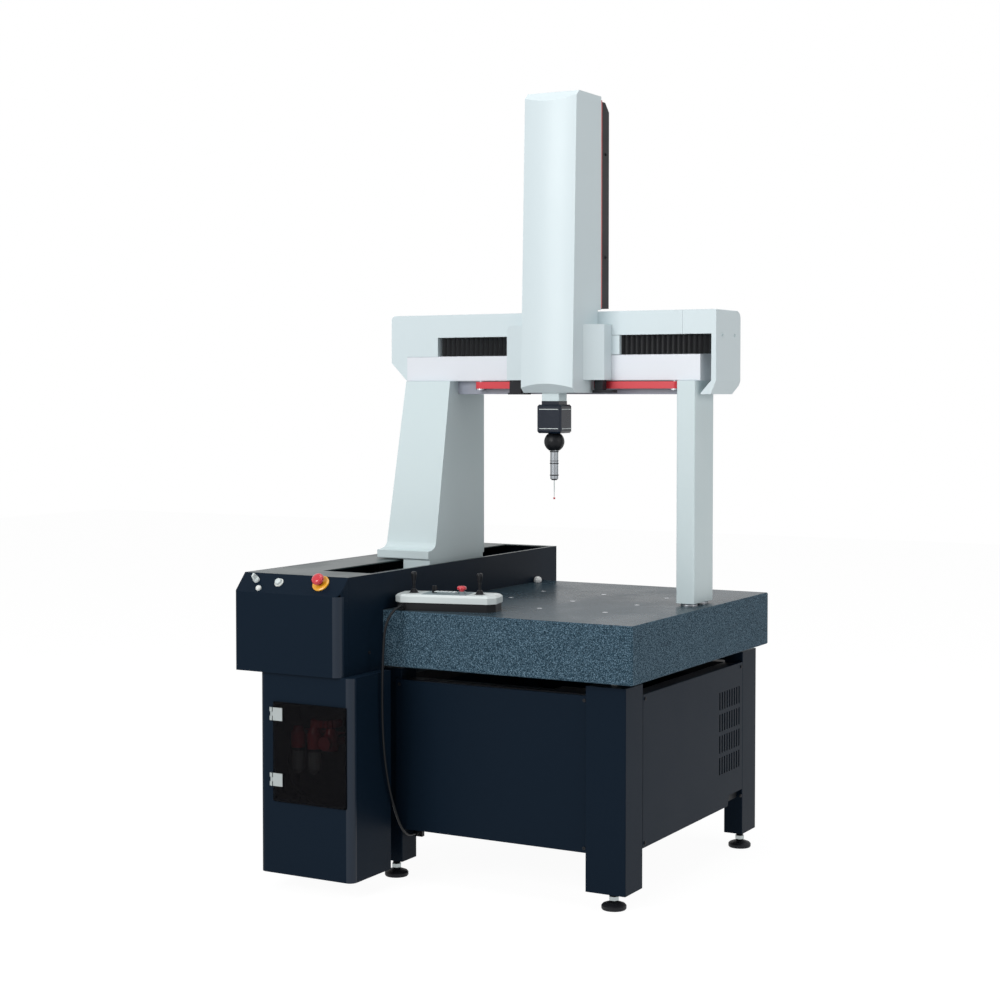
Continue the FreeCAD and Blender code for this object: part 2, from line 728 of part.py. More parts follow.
def hinges():
    """Two butt hinges: the fixed leaf and pin stay on the cabinet, the other leaf goes with the door."""
    front = CABINET_Y[0]
    door_face = front - D.air_gap - D.door_thick
    pin_x = DOOR_X[0] - D.hinge_pin - D.clearance
    pin_y = door_face - D.hinge_leaf / 2
    fixed, moving = [], []
    for low, high in hinge_levels():
        fixed.append(fuse([
            rod(pin_x, pin_y, low, D.hinge_pin, D.hinge_height / 3),
            rod(pin_x, pin_y, high - D.hinge_height / 3, D.hinge_pin, D.hinge_height / 3),
            rod(pin_x, pin_y, low, D.hinge_pin / 2, D.hinge_height),
            block((pin_x - 2 * D.hinge_pin, pin_x), (pin_y, front), (low, low + D.hinge_height / 3)),
            block((pin_x - 2 * D.hinge_pin, pin_x), (pin_y, front), (high - D.hinge_height / 3, high)),
        ]))
        knuckle = (low + D.hinge_height / 3 + D.air_gap, high - D.hinge_height / 3 - D.air_gap)
        leaf = fuse([
            rod(pin_x, pin_y, knuckle[0], D.hinge_pin, knuckle[1] - knuckle[0]),
            block((pin_x, DOOR_X[0] + 32), (door_face - D.hinge_leaf, door_face), knuckle),
            block(
                (DOOR_X[0] + D.clearance, DOOR_X[0] + 32),
                (door_face - D.hinge_leaf, door_face),
                (low, high),
            ),
        ])
        moving.append(cut(leaf, rod(pin_x, pin_y, low, D.hinge_pin / 2 + D.air_gap, D.hinge_height)))
    node(group(fixed), "hinge_pins")
    node(group(moving), "door_leaves")


def filter_places():
    first = CABINET_X[0] + 62
    return [(first + D.filter_pitch * number, middle(CABINET_Y)) for number in range(3)]


def air_unit():
    """Two filters, a pressure regulator and its gauge on a bar across the cabinet."""
    level = D.filter_level
    heads, bowls = [], []
    back = CABINET_Y[1] - D.sheet
    bar = block((CABINET_X[0] + 30, CABINET_X[1] - 60), (back - 12, back), (level - 14, level + 14))
    for number, (x, y) in enumerate(filter_places()):
        arm = block((x - 12, x + 12), (y, back - 12), (level - 10, level + 10))
        body = rod(x, y, level - 22, D.filter_radius, 44)
        cap = cone(x, y, level + 22, D.filter_radius - 3, D.filter_radius - 8, 16)
        heads.append(fuse([arm, body, cap]))
        if number < 2:
            bowl = [
                (0, 0), (4, 0), (4, 6), (12, 6), (D.bowl_radius, 16), (D.bowl_radius, D.bowl_height),
                (0, D.bowl_height),
            ]
            bowls.append(turned("Bowl", x, y, level - 22 - D.bowl_height, bowl))
    gauge_x, gauge_y = filter_places()[2]
    gauge = [
        rod(gauge_x, gauge_y - D.filter_radius - 14, level, 19, 12, "Y"),
        rod(gauge_x, gauge_y - D.filter_radius - 2, level, 5, 8, "Y"),
    ]
    node(fuse([bar] + heads + gauge), "air_filters")
    node(group(bowls), "filter_bowls")


# ------------------------------------------------------------------ console on the slope
def on_slope(obj, x, share):
    """Stand a piece square on the housing's slope; share is 0 at its lower edge and 1 at its upper one."""
    obj.Placement = Placement(Vector(), Rotation(ACROSS, 45))
    obj.setExpression("Placement.Rotation.Angle", "atan(dims.slope_drop / dims.slope_run)")
    place(obj, x, FRONT + D.slope_run * share, SLOPE_Z + D.slope_drop * share)
    return obj


def console():
    estop_x, start_x, knob_x, lamp_x = (LEFT + offset for offset in (262, 128, 53, 72))
    collar = [
        (D.stem_radius + D.air_gap, 0), (D.collar_radius, 0), (D.collar_radius, 3), (D.collar_radius - 4, 5),
        (D.stem_radius + D.air_gap, 5),
    ]
    bezel = [
        (D.start_radius + D.air_gap, 0), (D.start_radius + 4, 0), (D.start_radius + 4, 2),
        (D.start_radius + 2, 4), (D.start_radius + D.air_gap, 4),
    ]
    lamp = [(0, 0), (8, 0), (8, 4), (6, 7), (3, 8.5), (0, 8.5)]
    fittings = [
        on_slope(turned("Collar", 0, 0, 0, collar), estop_x, D.estop_share),
        on_slope(turned("Bezel", 0, 0, 0, bezel), start_x, 0.55),
        on_slope(turned("Lamp", 0, 0, 0, lamp), lamp_x, 0.2),
    ]
    node(group(fittings), "console_fittings")
    low = D.estop_travel + 0.5
    mushroom = [
        (0, low), (D.stem_radius, low), (D.stem_radius, 11), (D.estop_radius - 4, 12), (D.estop_radius, 15),
        (D.estop_radius, 18), (D.estop_radius - 3, 22), (6, D.estop_height + 2), (0, D.estop_height + 2),
    ]
    node(on_slope(turned("Estop", 0, 0, 0, mushroom), estop_x, D.estop_share), "estop_button")
    cap = [
        (0, 1.5), (D.start_radius, 1.5), (D.start_radius, 5), (D.start_radius - 2, 6.5), (0, 6.5),
    ]
    node(on_slope(turned("Start", 0, 0, 0, cap), start_x, 0.55), "start_button")
    knob = [
        (0, D.air_gap), (D.knob_radius, D.air_gap), (D.knob_radius, 5), (D.knob_radius - 4, 8),
        (D.knob_radius - 1, D.knob_height - 4), (D.knob_radius - 3, D.knob_height), (0, D.knob_height),
    ]
    grip = turned("Knob", 0, 0, 0, knob)
    sides = group([
        block(
            (D.knob_radius / 3, D.knob_radius + 1),
            (-D.knob_radius, D.knob_radius),
            (9, D.knob_height + 1),
        ),
        block(
            (-D.knob_radius - 1, -D.knob_radius / 3),
            (-D.knob_radius, D.knob_radius),
            (9, D.knob_height + 1),
        ),
    ])
    node(on_slope(cut(grip, sides), knob_x, 0.6), "mode_knob")


# ------------------------------------------------------------------ joystick pendant on the table
TURN = math.radians(SIZES["pendant_turn"])
COS = Size(math.cos(TURN), "cos(dims.pendant_turn * 1 deg)")
SIN = Size(math.sin(TURN), "sin(dims.pendant_turn * 1 deg)")
PENDANT_X = HOUSING_RIGHT + 26
PENDANT_Y = GRANITE_Y[0] + 11


def on_pendant(obj, along_it, across_it, up):
    """Place a piece at a point of the pendant's own frame, turned with it."""
    obj.Placement = Placement(Vector(), Rotation(UP, SIZES["pendant_turn"]))
    obj.setExpression("Placement.Rotation.Angle", "dims.pendant_turn")
    x = PENDANT_X + along_it * COS - across_it * SIN
    y = PENDANT_Y + along_it * SIN + across_it * COS
    place(obj, x, y, D.table_top + up)
    return obj


def octagon(inset):
    """The pendant's outline: a rectangle with cut corners."""
    low, c = size(inset), D.pendant_corner
    u1, v1 = D.pendant_length - inset, D.pendant_depth - inset
    return [
        (low + c, low), (u1 - c, low), (u1, low + c), (u1, v1 - c),
        (u1 - c, v1), (low + c, v1), (low, v1 - c), (low, low + c),
    ]


def stick_places():
    return [("left", 42), ("right", D.pendant_length - 56)]


def pendant():
    base = new_body("PendantBase")
    pad(base, "XY_Plane", (0, D.pendant_base), lambda sketch: outline(sketch, octagon(3)))
    node(on_pendant(base, 0, 0, 0), "pendant_base")

    cover = new_body("PendantCover")
    height, middle_v = D.pendant_height, D.pendant_depth / 2
    pad(cover, "XY_Plane", (D.pendant_base, height), lambda sketch: outline(sketch, octagon(0)))
    chamfer(cover, 6, lambda edge: at(edge, z=height))
    keys_u = (D.pendant_length * 0.27, D.pendant_length * 0.71)
    keys_v = (size(10), D.pendant_depth - 10)
    pocket(cover, "XY_Plane", (height - 2, height), lambda sketch: outline(sketch, rectangle(keys_u, keys_v)))
    well = D.boot_radius + D.clearance

    def wells(sketch):
        for _, u in stick_places():
            circle(sketch, u, middle_v, well)

    pocket(cover, "XY_Plane", (D.pendant_base + 1, height), wells)
    node(on_pendant(cover, 0, 0, 0), "pendant_cover")

    stop_u, knob_u = keys_u[1] - 24, keys_u[0] + 24
    ring = [(7.4, 0), (11, 0), (11, 5), (9, 6), (7.4, 6)]
    keypad = plate("Keypad", keys_u, keys_v, (height - 2, height + 1))
    collar = turned("KeypadRing", stop_u, middle_v, height + 1, ring)
    node(on_pendant(fuse([keypad, collar]), 0, 0, 0), "pendant_keypad")

    button = [(0, 5), (7, 5), (7, 10), (13, 12), (13, 16), (9, 20), (0, 21)]
    node(on_pendant(turned("PendantStop", 0, 0, 0, button), stop_u, middle_v, height + 1), "pendant_estop")
    dial = [(0, D.air_gap), (7, D.air_gap), (6, 17), (4, 19), (0, 19)]
    node(on_pendant(turned("PendantKnob", 0, 0, 0, dial), knob_u, middle_v, height + 1), "pendant_knob")

    pivot = height - 4
    for side, u in stick_places():
        boot = on_pendant(ball(0, 0, 0, D.boot_radius), u, middle_v, pivot)
        node(boot, f"{side}_joystick_boot")
        low, top, radius = D.boot_radius + D.air_gap, D.stick_height, D.stick_radius
        stick = [
            (0, low), (radius + 2, low), (radius + 2, low + 4), (radius, low + 7), (radius, top - 2),
            (radius - 2, top), (0, top),
        ]
        node(on_pendant(turned("Stick", 0, 0, 0, stick), u, middle_v, pivot), f"{side}_joystick")


# ------------------------------------------------------------------ cords
def tube(points, radius):
    """A tube along straight runs joined by tangent arcs, each as large as its two runs allow."""
    corners = [Vector(*point) for point in points]
    edges, start = [], corners[0]
    for before, corner, after in zip(corners, corners[1:], corners[2:]):
        incoming, outgoing = (corner - before), (after - corner)
        reach = 0.45 * min(incoming.Length, outgoing.Length)
        half_turn = incoming.getAngle(outgoing) / 2
        print(f"cord bend radius {reach / math.tan(half_turn):.0f}")
        enter = corner - Vector(incoming).normalize() * reach
        leave = corner + Vector(outgoing).normalize() * reach
        inward = (enter + leave) * 0.5 - corner
        sink = reach / math.tan(half_turn) * (1 / math.cos(half_turn) - 1)
        edges.append(Part.LineSegment(start, enter).toShape())
        edges.append(Part.Arc(enter, corner + inward.normalize() * sink, leave).toShape())
        start = leave
    edges.append(Part.LineSegment(start, corners[-1]).toShape())
    path = Part.Wire(edges)
    section = Part.Wire(Part.makeCircle(radius, corners[0], corners[1] - corners[0]))
    solid = path.makePipeShell([section], True, True)
    expected = math.pi * radius ** 2 * path.Length
    if abs(solid.Volume - expected) > 0.02 * expected:
        raise RuntimeError("a cord's tube has the wrong volume")
    cord = doc.addObject("Part::Feature", "cord")
    cord.Shape = solid
    return cord


PENDANT_CABLE = [
    (-160.54, -394.94, 764), (-154.73, -418.22, 764), (-155.5, -443, 756),
    (-160, -461, 736), (-164, -470, 708),
    (-167, -473, 655), (-169, -475, 565), (-169, -475, 472), (-169, -468, 388), (-169, -454, 318),
    (-170, -433, 258), (-172, -408, 212), (-174, -385, 174), (-176, -361, 145), (-178.5, -337, 128),
    (-180, -313, 122), (-180, -289, 122),
]
AIR_HOSE = [
    (-444, -440, 400), (-444, -468, 400), (-446, -494, 385), (-448.5, -510, 359.6), (-450, -512.4, 323.6),
    (-446, -508, 290), (-431, -503, 260), (-405, -500, 238), (-372, -502, 222), (-336, -500, 206),
    (-304, -496, 184), (-284, -489, 154), (-275, -481, 118), (-275, -481, 84),
]


def cords():
    node(tube(PENDANT_CABLE, SIZES["cable_radius"]), "pendant_cable")
    node(tube(AIR_HOSE, SIZES["hose_radius"]), "air_hose")


def glands():
    """The cords' strain reliefs: on the pendant, under the stand's front rail, and in the cabinet."""
    level = D.pendant_base / 2
    pendant_end = fuse([rod(24, -9, level, 6, 12, "Y"), rod(24, -4, level, 9, 7, "Y")])
    bracket = block((-192, -168), (-275, -262), (D.panel_bottom - 36, D.panel_bottom + D.panel_fold))
    rail_end = fuse([rod(-180, -289, 122, 7, 14, "Y"), rod(-180, -282, 122, 9, 7, "Y"), bracket])
    bar_end = fuse([rod(-444, -440, D.filter_level, 7, 9, "Y"), rod(-444, -435, D.filter_level, 10, 4, "Y")])
    floor = D.foot_height + D.sheet
    floor_end = fuse([rod(-275, -481, floor, 8, 31), rod(-275, -481, floor, 12, 10)])
    node(group([on_pendant(pendant_end, 0, 0, 0), rail_end, bar_end, floor_end]), "cable_glands")


# ------------------------------------------------------------------ bridge
FLANGE_Z = (HOUSING_TOP + D.flange_lift, HOUSING_TOP + D.flange_lift + D.flange_thick)


def left_leg():
    """The broad leg: a tapering loft that leans back and flares out onto its foot."""
    body = new_body("LeftLeg")
    inner, rear = -D.left_leg_right, D.left_leg_rear
    foot_left, foot_front = inner - D.left_leg_foot_width, -D.left_leg_foot_front

    def section(level, left, front):
        sketch = new_sketch(body, "XY_Plane", level)
        outline(sketch, rectangle((left, inner), (front, rear)))
        return sketch

    # The flare is a quarter round: it leaves the flange flat and joins the leg upright.
    sections = []
    steps = 4
    for step in range(steps + 1):
        angle = math.pi / 2 * step / steps
        spread = 1 - math.sin(angle)
        left = foot_left - (D.flange_left - D.left_leg_right - D.left_leg_foot_width) * spread
        front = foot_front - (D.flange_front - D.left_leg_foot_front) * spread
        rise = D.flare * (1 - math.cos(angle))
        sections.append(section(FLANGE_Z[1] + 2 + rise, left, front))
    top_left = inner - D.left_leg_top_width
    sections.append(section(D.beam_bottom, top_left, D.left_leg_top_front))
    pad(body, "XY_Plane", (FLANGE_Z[1], FLANGE_Z[1] + 2), lambda sketch: outline(
        sketch, rectangle((-D.flange_left, inner), (-D.flange_front, rear))))
    loft = body.newObject("PartDesign::AdditiveLoft", "loft")
    loft.Profile = sections[0]
    loft.Sections = sections[1:]
    loft.Ruled = True
    doc.recompute()
    node(body, "left_leg")


def left_leg_base():
    """The leg's foot: a flange over the housing, a web through the slot and an air-bearing shoe below."""
    inner, rear = -D.left_leg_right, D.left_leg_rear
    web = (inner - D.web_width, inner)
    y = (-D.flange_front + 8, rear - 8)
    shoe = (D.table_top + D.air_gap, D.table_top + D.air_gap + D.shoe_height)
    body = plate("LegBase", (inner - D.web_width - 10, inner + 12), y, shoe)
    pad(body, "XY_Plane", (shoe[1], FLANGE_Z[0]), lambda sketch: outline(sketch, rectangle(web, y)))
    flange = rectangle((-D.flange_left, inner), (-D.flange_front, rear))
    pad(body, "XY_Plane", FLANGE_Z, lambda sketch: outline(sketch, flange))

    def under_rim(edge):
        return at(edge, z=FLANGE_Z[0]) and (at(edge, y=-D.flange_front) or at(edge, x=-D.flange_left))

    chamfer(body, 3, under_rim)
    node(body, "left_leg_base")


def right_leg():
    x = (D.right_leg_right - D.right_leg_width, size(D.right_leg_right))
    y = (size(D.right_leg_front), D.right_leg_front + D.right_leg_depth)
    body = plate("RightLeg", x, y, (D.table_top + D.pad_height, D.beam_bottom))
    fillet(body, 4, lambda edge: along(edge, UP))
    node(body, "right_leg")
    pads = []
    for share in (0.22, 0.78):
        centre_y = y[0] + D.right_leg_depth * share
        profile = [
            (0, 0), (D.pad_radius, 0), (D.pad_radius, 3), (D.pad_radius - 3, D.pad_height - D.air_gap),
            (0, D.pad_height - D.air_gap),
        ]
        pads.append(turned("Pad", middle(x), centre_y, D.table_top + D.air_gap, profile))
    node(group(pads), "right_bearing_pads")


def beam():
    """The ceramic guide beam, stepped for the bellows, with the drive channel below it."""
    body = new_body("Beam")
    top = WINDOW_Z[1]
    front, rear, recess = BEAM_Y[0], BEAM_Y[1], CHANNEL_Y
    profile = [
        (front, BEAM_Z[0]), (rear, BEAM_Z[0]), (rear, top), (recess, top), (recess, BEAM_Z[1]),
        (front, BEAM_Z[1]),
    ]
    pad(body, "YZ_Plane", BEAM_X, lambda sketch: outline(sketch, profile))
    channel_x = (-D.left_leg_right, D.right_leg_right - D.right_leg_width)
    channel = rectangle((recess, rear), (CHANNEL_Z, BEAM_Z[0]))
    pad(body, "YZ_Plane", channel_x, lambda sketch: outline(sketch, channel))
    chamfer(body, 2, lambda edge: along(edge, ACROSS) and at(edge, y=front))
    node(body, "beam")


def cover_section(inset):
    """The cover's inside (y, z), with its upper rear corner cut to follow the rounded outside."""
    front, rear = D.bridge_front + inset, COVER_REAR - inset
    low, top = WINDOW_Z[1] + inset, COVER_TOP - inset
    cut_off = D.end_round - inset
    return [(front, low), (rear, low), (rear, top - cut_off), (rear - cut_off, top), (front, top)]


def beam_top_cover():
    """The long sheet cover over the beam, with its left end brought down round the beam."""
    body = new_body("TopCover")
    y = (size(D.bridge_front), COVER_REAR)
    left, window, seam = -D.cover_left, -D.window_left, D.end_cover_seam - D.seam
    corner = BEAM_Z[0] + D.cover_left - D.beam_left
    end = [
        (left, COVER_TOP), (left, corner), (BEAM_X[0], BEAM_Z[0]), (BEAM_X[0], WINDOW_Z[0]),
        (window, WINDOW_Z[0]),
        (window, WINDOW_Z[1]), (seam, WINDOW_Z[1]), (seam, COVER_TOP),
    ]
    pad(body, "XZ_Plane", y, lambda sketch: outline(sketch, end))
    fillet(body, D.end_round, lambda edge: along(edge, ACROSS) and at(edge, y=COVER_REAR, z=COVER_TOP))
    fillet(body, 14, lambda edge: along(edge, BACK) and at(edge, x=left, z=COVER_TOP))
    wall = D.sheet
    inner = [
        (left + wall, COVER_TOP - wall - D.end_round), (left + wall, corner + 0.41 * wall),
        (BEAM_X[0], BEAM_Z[0] + 1.41 * wall), (BEAM_X[0], WINDOW_Z[0] - 1), (window - wall, WINDOW_Z[0] - 1),
        (window - wall, COVER_TOP - wall - D.end_round),
    ]
    inside_y = (D.bridge_front + wall, COVER_REAR - wall)
    pocket(body, "XZ_Plane", inside_y, lambda sketch: outline(sketch, inner))
    pocket(body, "YZ_Plane", (window - wall, seam), lambda sketch: outline(sketch, cover_section(wall)))
    over_beam = rectangle((window - wall - 1, window + 1), (WINDOW_Z[0] - 1, WINDOW_Z[1]))
    pocket(body, "XZ_Plane", (CHANNEL_Y, COVER_REAR - wall), lambda sketch: outline(sketch, over_beam))
    skirt = [
        (COVER_REAR - wall, WINDOW_Z[1]), (COVER_REAR - wall, CHANNEL_Z + wall),
        (BEAM_Y[1], CHANNEL_Z + wall),
        (BEAM_Y[1], CHANNEL_Z), (COVER_REAR, CHANNEL_Z), (COVER_REAR, WINDOW_Z[1]),
    ]
    between_legs = (-D.left_leg_right, D.right_leg_right - D.right_leg_width)
    pad(body, "YZ_Plane", between_legs, lambda sketch: outline(sketch, skirt))
    node(body, "beam_top_cover")


def right_end_cover():
    """The cover that closes the beam's right end, with a flange that comes down and tucks in below."""
    body = new_body("EndCover")
    y = (size(D.bridge_front), COVER_REAR)
    inner = RIGHT - D.end_flange
    toe = CHANNEL_Z + 4
    end = [
        (D.end_cover_seam, COVER_TOP), (D.end_cover_seam, WINDOW_Z[1]),
        (inner, WINDOW_Z[1]), (inner, BEAM_Z[0]),
        (BEAM_X[1] + 2, toe), (BEAM_X[1] + 2, CHANNEL_Z),
        (RIGHT - D.end_taper, CHANNEL_Z), (RIGHT, BEAM_Z[0]),
        (RIGHT, COVER_TOP),
    ]
    pad(body, "XZ_Plane", y, lambda sketch: outline(sketch, end))
    fillet(body, D.end_round, lambda edge: along(edge, ACROSS) and at(edge, y=COVER_REAR, z=COVER_TOP))
    fillet(body, 3, lambda edge: along(edge, BACK) and at(edge, x=RIGHT, z=COVER_TOP))
    chamfer(body, D.end_round, lambda edge: at(edge, y=COVER_REAR, z=CHANNEL_Z) and along(edge, ACROSS))
    span = (D.end_cover_seam, inner)
    pocket(body, "YZ_Plane", span, lambda sketch: outline(sketch, cover_section(D.sheet)))
    node(body, "right_end_cover")


def stadium(x, y, z, radius):
    """An upright slab with round ends, the shape round two pulleys."""
    return fuse([
        block(x, (y - radius, y + radius), z), rod(x[0], y, z[0], radius, z[1] - z[0]),
        rod(x[1], y, z[0], radius, z[1] - z[0]),
    ])


def belt_drive():
    """The carriage's flat belt under the beam, and the two pulleys that carry it."""
    outer = D.pulley_radius + D.belt_thick
    y = D.bridge_front - D.belt_setback + outer
    x = (-D.belt_left + outer, D.right_leg_right - D.right_leg_width - outer - D.clearance)
    z = (D.beam_bottom - 2 - D.belt_height, D.beam_bottom - 2)
    ring = cut(stadium(x, y, z, outer), stadium(x, y, (z[0] - 1, z[1] + 1), D.pulley_radius))
    node(ring, "x_drive_belt")
    pulleys = []
    for centre in x:
        pulleys.append(fuse([
            rod(centre, y, z[0], D.pulley_radius, D.belt_height),
            rod(centre, y, z[0] - 4, D.pulley_radius + 2, 4),
            rod(centre, y, z[1], 5, D.beam_bottom - z[1]),
        ]))
    node(group(pulleys), "belt_pulleys")


def bellows(name, x):
    """A pleated bellows in the beam's recess: a zigzag across X with a constant fold depth."""
    front = CHANNEL_Y - 2 - D.bellows_depth
    wall, pleats = 2, round(abs(x[1].number - x[0].number) / SIZES["pleat"])
    pitch = (x[1] - x[0]) / pleats
    face = []
    for number in range(pleats):
        face.append((x[0] + pitch * number, front))
        face.append((x[0] + pitch * (number + 0.5), front + D.bellows_depth - wall))
    face.append((x[1], front))
    back = [(x[1], front + D.bellows_depth), (x[0], front + D.bellows_depth)]
    body = new_body(name.title().replace("_", ""))
    z = (WINDOW_Z[0] + D.clearance, WINDOW_Z[1] - D.clearance)
    pad(body, "XY_Plane", z, lambda sketch: outline(sketch, face + back))
    node(body, name)


# ------------------------------------------------------------------ carriage and column
def carriage_cover():
    """The saddle that runs in the beam's recess, with the two slanted wings in front of the beam."""
    z = (WINDOW_Z[0] + D.clearance, WINDOW_Z[1] - D.clearance)
    body = plate("Carriage", SADDLE_X, (BEAM_FACE, CHANNEL_Y - D.clearance), z)
    wings = (D.beam_bottom + 2, size(D.wing_top))
    shoulder = D.wing_nose + D.wing_setback + 1
    left, right = COLUMN_X
    left_wing = [(left, D.wing_nose), (left, BEAM_FACE), (-D.wing_left, BEAM_FACE), (-D.wing_left, shoulder)]
    right_wing = [
        (right, D.wing_nose), (D.wing_right, shoulder), (D.wing_right, BEAM_FACE), (right, BEAM_FACE),
    ]
    pad(body, "XY_Plane", wings, lambda sketch: outline(sketch, right_wing))
    pad(body, "XY_Plane", wings, lambda sketch: outline(sketch, left_wing))
    chamfer(body, 12, lambda edge: at(edge, x=-D.wing_left, z=D.wing_top))
    node(body, "carriage_cover")


def z_front_cover():
    """The column's front: a loft with a bowed face, leaning out towards the bottom, hollow for the ram."""
    body = new_body("ZFront")
    bottom, top = size(D.column_bottom), COLUMN_TOP
    low_front = -D.column_front - D.column_lean + D.column_bulge
    high_front = -D.column_front + D.column_bulge

    def section(level, front):
        sketch = new_sketch(body, "XY_Plane", level)
        corners = rectangle(COLUMN_X, (front, size(D.column_seam)))
        outline(sketch, corners, {0: D.column_bulge})
        return sketch

    loft = body.newObject("PartDesign::AdditiveLoft", "loft")
    loft.Profile = section(bottom, low_front)
    loft.Sections = [section(top, high_front)]
    loft.Ruled = True
    doc.recompute()
    past = D.column_seam + 1
    over_beam = rectangle((BEAM_FACE, past), (bottom - 1, COVER_TOP + D.rear_cover_lift / 2))
    pocket(body, "YZ_Plane", COLUMN_X, lambda sketch: outline(sketch, over_beam))
    clear_of_legs = rectangle((D.left_leg_top_front - 2, BEAM_FACE + 1), (bottom - 1, D.beam_bottom + 2))
    pocket(body, "YZ_Plane", COLUMN_X, lambda sketch: outline(sketch, clear_of_legs))
    x = (D.ram_x - D.ram_width / 2 - D.ram_clearance, D.ram_x + D.ram_width / 2 + D.ram_clearance)
    y = (D.ram_y - D.ram_deep / 2 - D.ram_clearance, D.ram_y + D.ram_deep / 2 + D.ram_clearance)
    cavity = (bottom, D.ram_bottom + D.ram_length + 30)
    pocket(body, "XY_Plane", cavity, lambda sketch: outline(sketch, rectangle(x, y)))
    apex_low = -D.column_front - D.column_lean
    slope = D.bevel_height / D.bevel_depth
    low_bevel = [
        (apex_low - 20, bottom - 1), (apex_low + D.bevel_depth, bottom - 1),
        (apex_low + D.bevel_depth, bottom),
        (apex_low - 20, bottom + (D.bevel_depth + 20) * slope),
    ]
    pocket(body, "YZ_Plane", COLUMN_X, lambda sketch: outline(sketch, low_bevel))
    apex_high = -D.column_front
    high_bevel = [
        (apex_high - 20, top - (D.bevel_depth + 20) * slope), (apex_high + D.bevel_depth, top),
        (apex_high + D.bevel_depth, top + 1), (apex_high - 20, top + 1),
    ]
    pocket(body, "YZ_Plane", COLUMN_X, lambda sketch: outline(sketch, high_bevel))
    node(body, "z_front_cover")


def z_rear():
    """The drive cover behind the column and the coloured edge plate between the two covers."""
    low = COVER_TOP + D.rear_cover_lift
    high = COLUMN_TOP - D.rear_cover_drop
    seam = D.column_seam + D.trim_thick
    trim = plate("Trim", COLUMN_X, (size(D.column_seam), seam), (low, high + 4))
    node(trim, "z_trim_plate")
    cover = plate("ZRear", COLUMN_X, (seam, size(D.column_rear)), (low, high))
    chamfer(cover, 28, lambda edge: along(edge, ACROSS) and at(edge, y=D.column_rear, z=high))
    fillet(cover, 4, lambda edge: along(edge, UP) and at(edge, y=D.column_rear))
    node(cover, "z_rear_cover")


def belt_clamps():
    """The blocks under the wings that grip the drive belt."""
    rear = D.left_leg_top_front - 2
    top = D.beam_bottom + 2
    right = fuse([
        block((D.wing_right - 30, D.wing_right - 4), (rear - 24, rear), (D.column_bottom, top)),
        block(
            (D.wing_right - 34, D.wing_right + 30),
            (rear - 28, rear),
            (D.column_bottom, D.column_bottom + 8),
        ),
    ])
    front = rear - D.clamp_setback
    left = fuse([
        block((-D.wing_left + 12, -D.wing_left + 50), (front - 18, front), (D.column_bottom, top)),
        block(
            (-D.wing_left + 8, -D.wing_left + 72),
            (front - 20, front),
            (D.column_bottom - 5, D.column_bottom),
        ),
    ])
    node(group([left, right]), "belt_clamps")


# ------------------------------------------------------------------ ram and probe
def ram():
    x = (D.ram_x - D.ram_width / 2, D.ram_x + D.ram_width / 2)
    y = (D.ram_y - D.ram_deep / 2, D.ram_y + D.ram_deep / 2)
    body = plate("Ram", x, y, (D.ram_bottom, D.ram_bottom + D.ram_length))
    chamfer(body, 2, lambda edge: along(edge, UP))
    node(body, "z_ram")


def probe_head():
    """The motorised head's fixed body, with a bore below for the turning ball's spindle."""
    x = (D.ram_x - D.head_width / 2, D.ram_x + D.head_width / 2)
    y = (D.ram_y - D.head_deep / 2, D.ram_y + D.head_deep / 2)
    body = plate("Head", x, y, (HEAD_BOTTOM, HEAD_TOP))
    chamfer(body, 5, lambda edge: True)
    neck_x = (D.ram_x - D.ram_width / 2, D.ram_x + D.ram_width / 2)
    neck_y = (D.ram_y - D.ram_deep / 2, D.ram_y + D.ram_deep / 2)
    pad(body, "XY_Plane", (HEAD_TOP, D.ram_bottom), lambda sketch: outline(sketch, rectangle(neck_x, neck_y)))
    bore = (HEAD_BOTTOM, HEAD_BOTTOM + 16)
    pocket(body, "XY_Plane", bore, lambda sketch: circle(sketch, D.ram_x, D.ram_y, D.head_bore))
    node(body, "probe_head")


def probe_ball():
    """The turning ball: two cheeks on a spindle, with a slot behind for the probe's swing."""
    x, y = size(D.ram_x), size(D.ram_y)
    half, reach = D.slot_half, D.ball_radius + 1
    whole = fuse([ball(x, y, BALL_Z, D.ball_radius), rod(x, y, BALL_Z, D.spindle_radius, D.ball_drop + 12)])
    swing = block((x - half, x + half), (y - D.module_radius - 1.5, y + reach), (BALL_Z - reach, BALL_Z + 21))
    hub_room = rod(x - half, y, BALL_Z, D.hub_radius + D.air_gap, half * 2, "X")
    node(cut(whole, fuse([swing, hub_room])), "probe_ball")


def probe():
    """The touch probe hanging from its hub in the ball, and the stylus screwed into it."""
    x, y = size(D.ram_x), size(D.ram_y)
    half = D.slot_half - D.air_gap
    shoulder = BALL_Z - D.ball_radius + 6
    parts = [
        rod(x - half, y, BALL_Z, D.hub_radius, half * 2, "X"),
        rod(x, y, shoulder, D.module_radius - 1.5, BALL_Z - shoulder),
        rod(x, y, D.module_bottom + 4, D.module_radius, shoulder - D.module_bottom - 4),
        cone(x, y, D.module_bottom, D.module_radius - 4, D.module_radius, 4),
    ]
    node(fuse(parts), "probe_module")
    holder = D.module_bottom - 8
    stem_bottom = D.tip_bottom + D.tip_radius * 2 - 1
    stem = [
        cone(x, y, holder, D.stylus_radius, 3.5, 8),
        rod(x, y, stem_bottom, D.stylus_radius * 0.7, holder - stem_bottom),
        ball(x, y, D.tip_bottom + D.tip_radius, D.tip_radius),
    ]
    node(fuse(stem), "stylus")


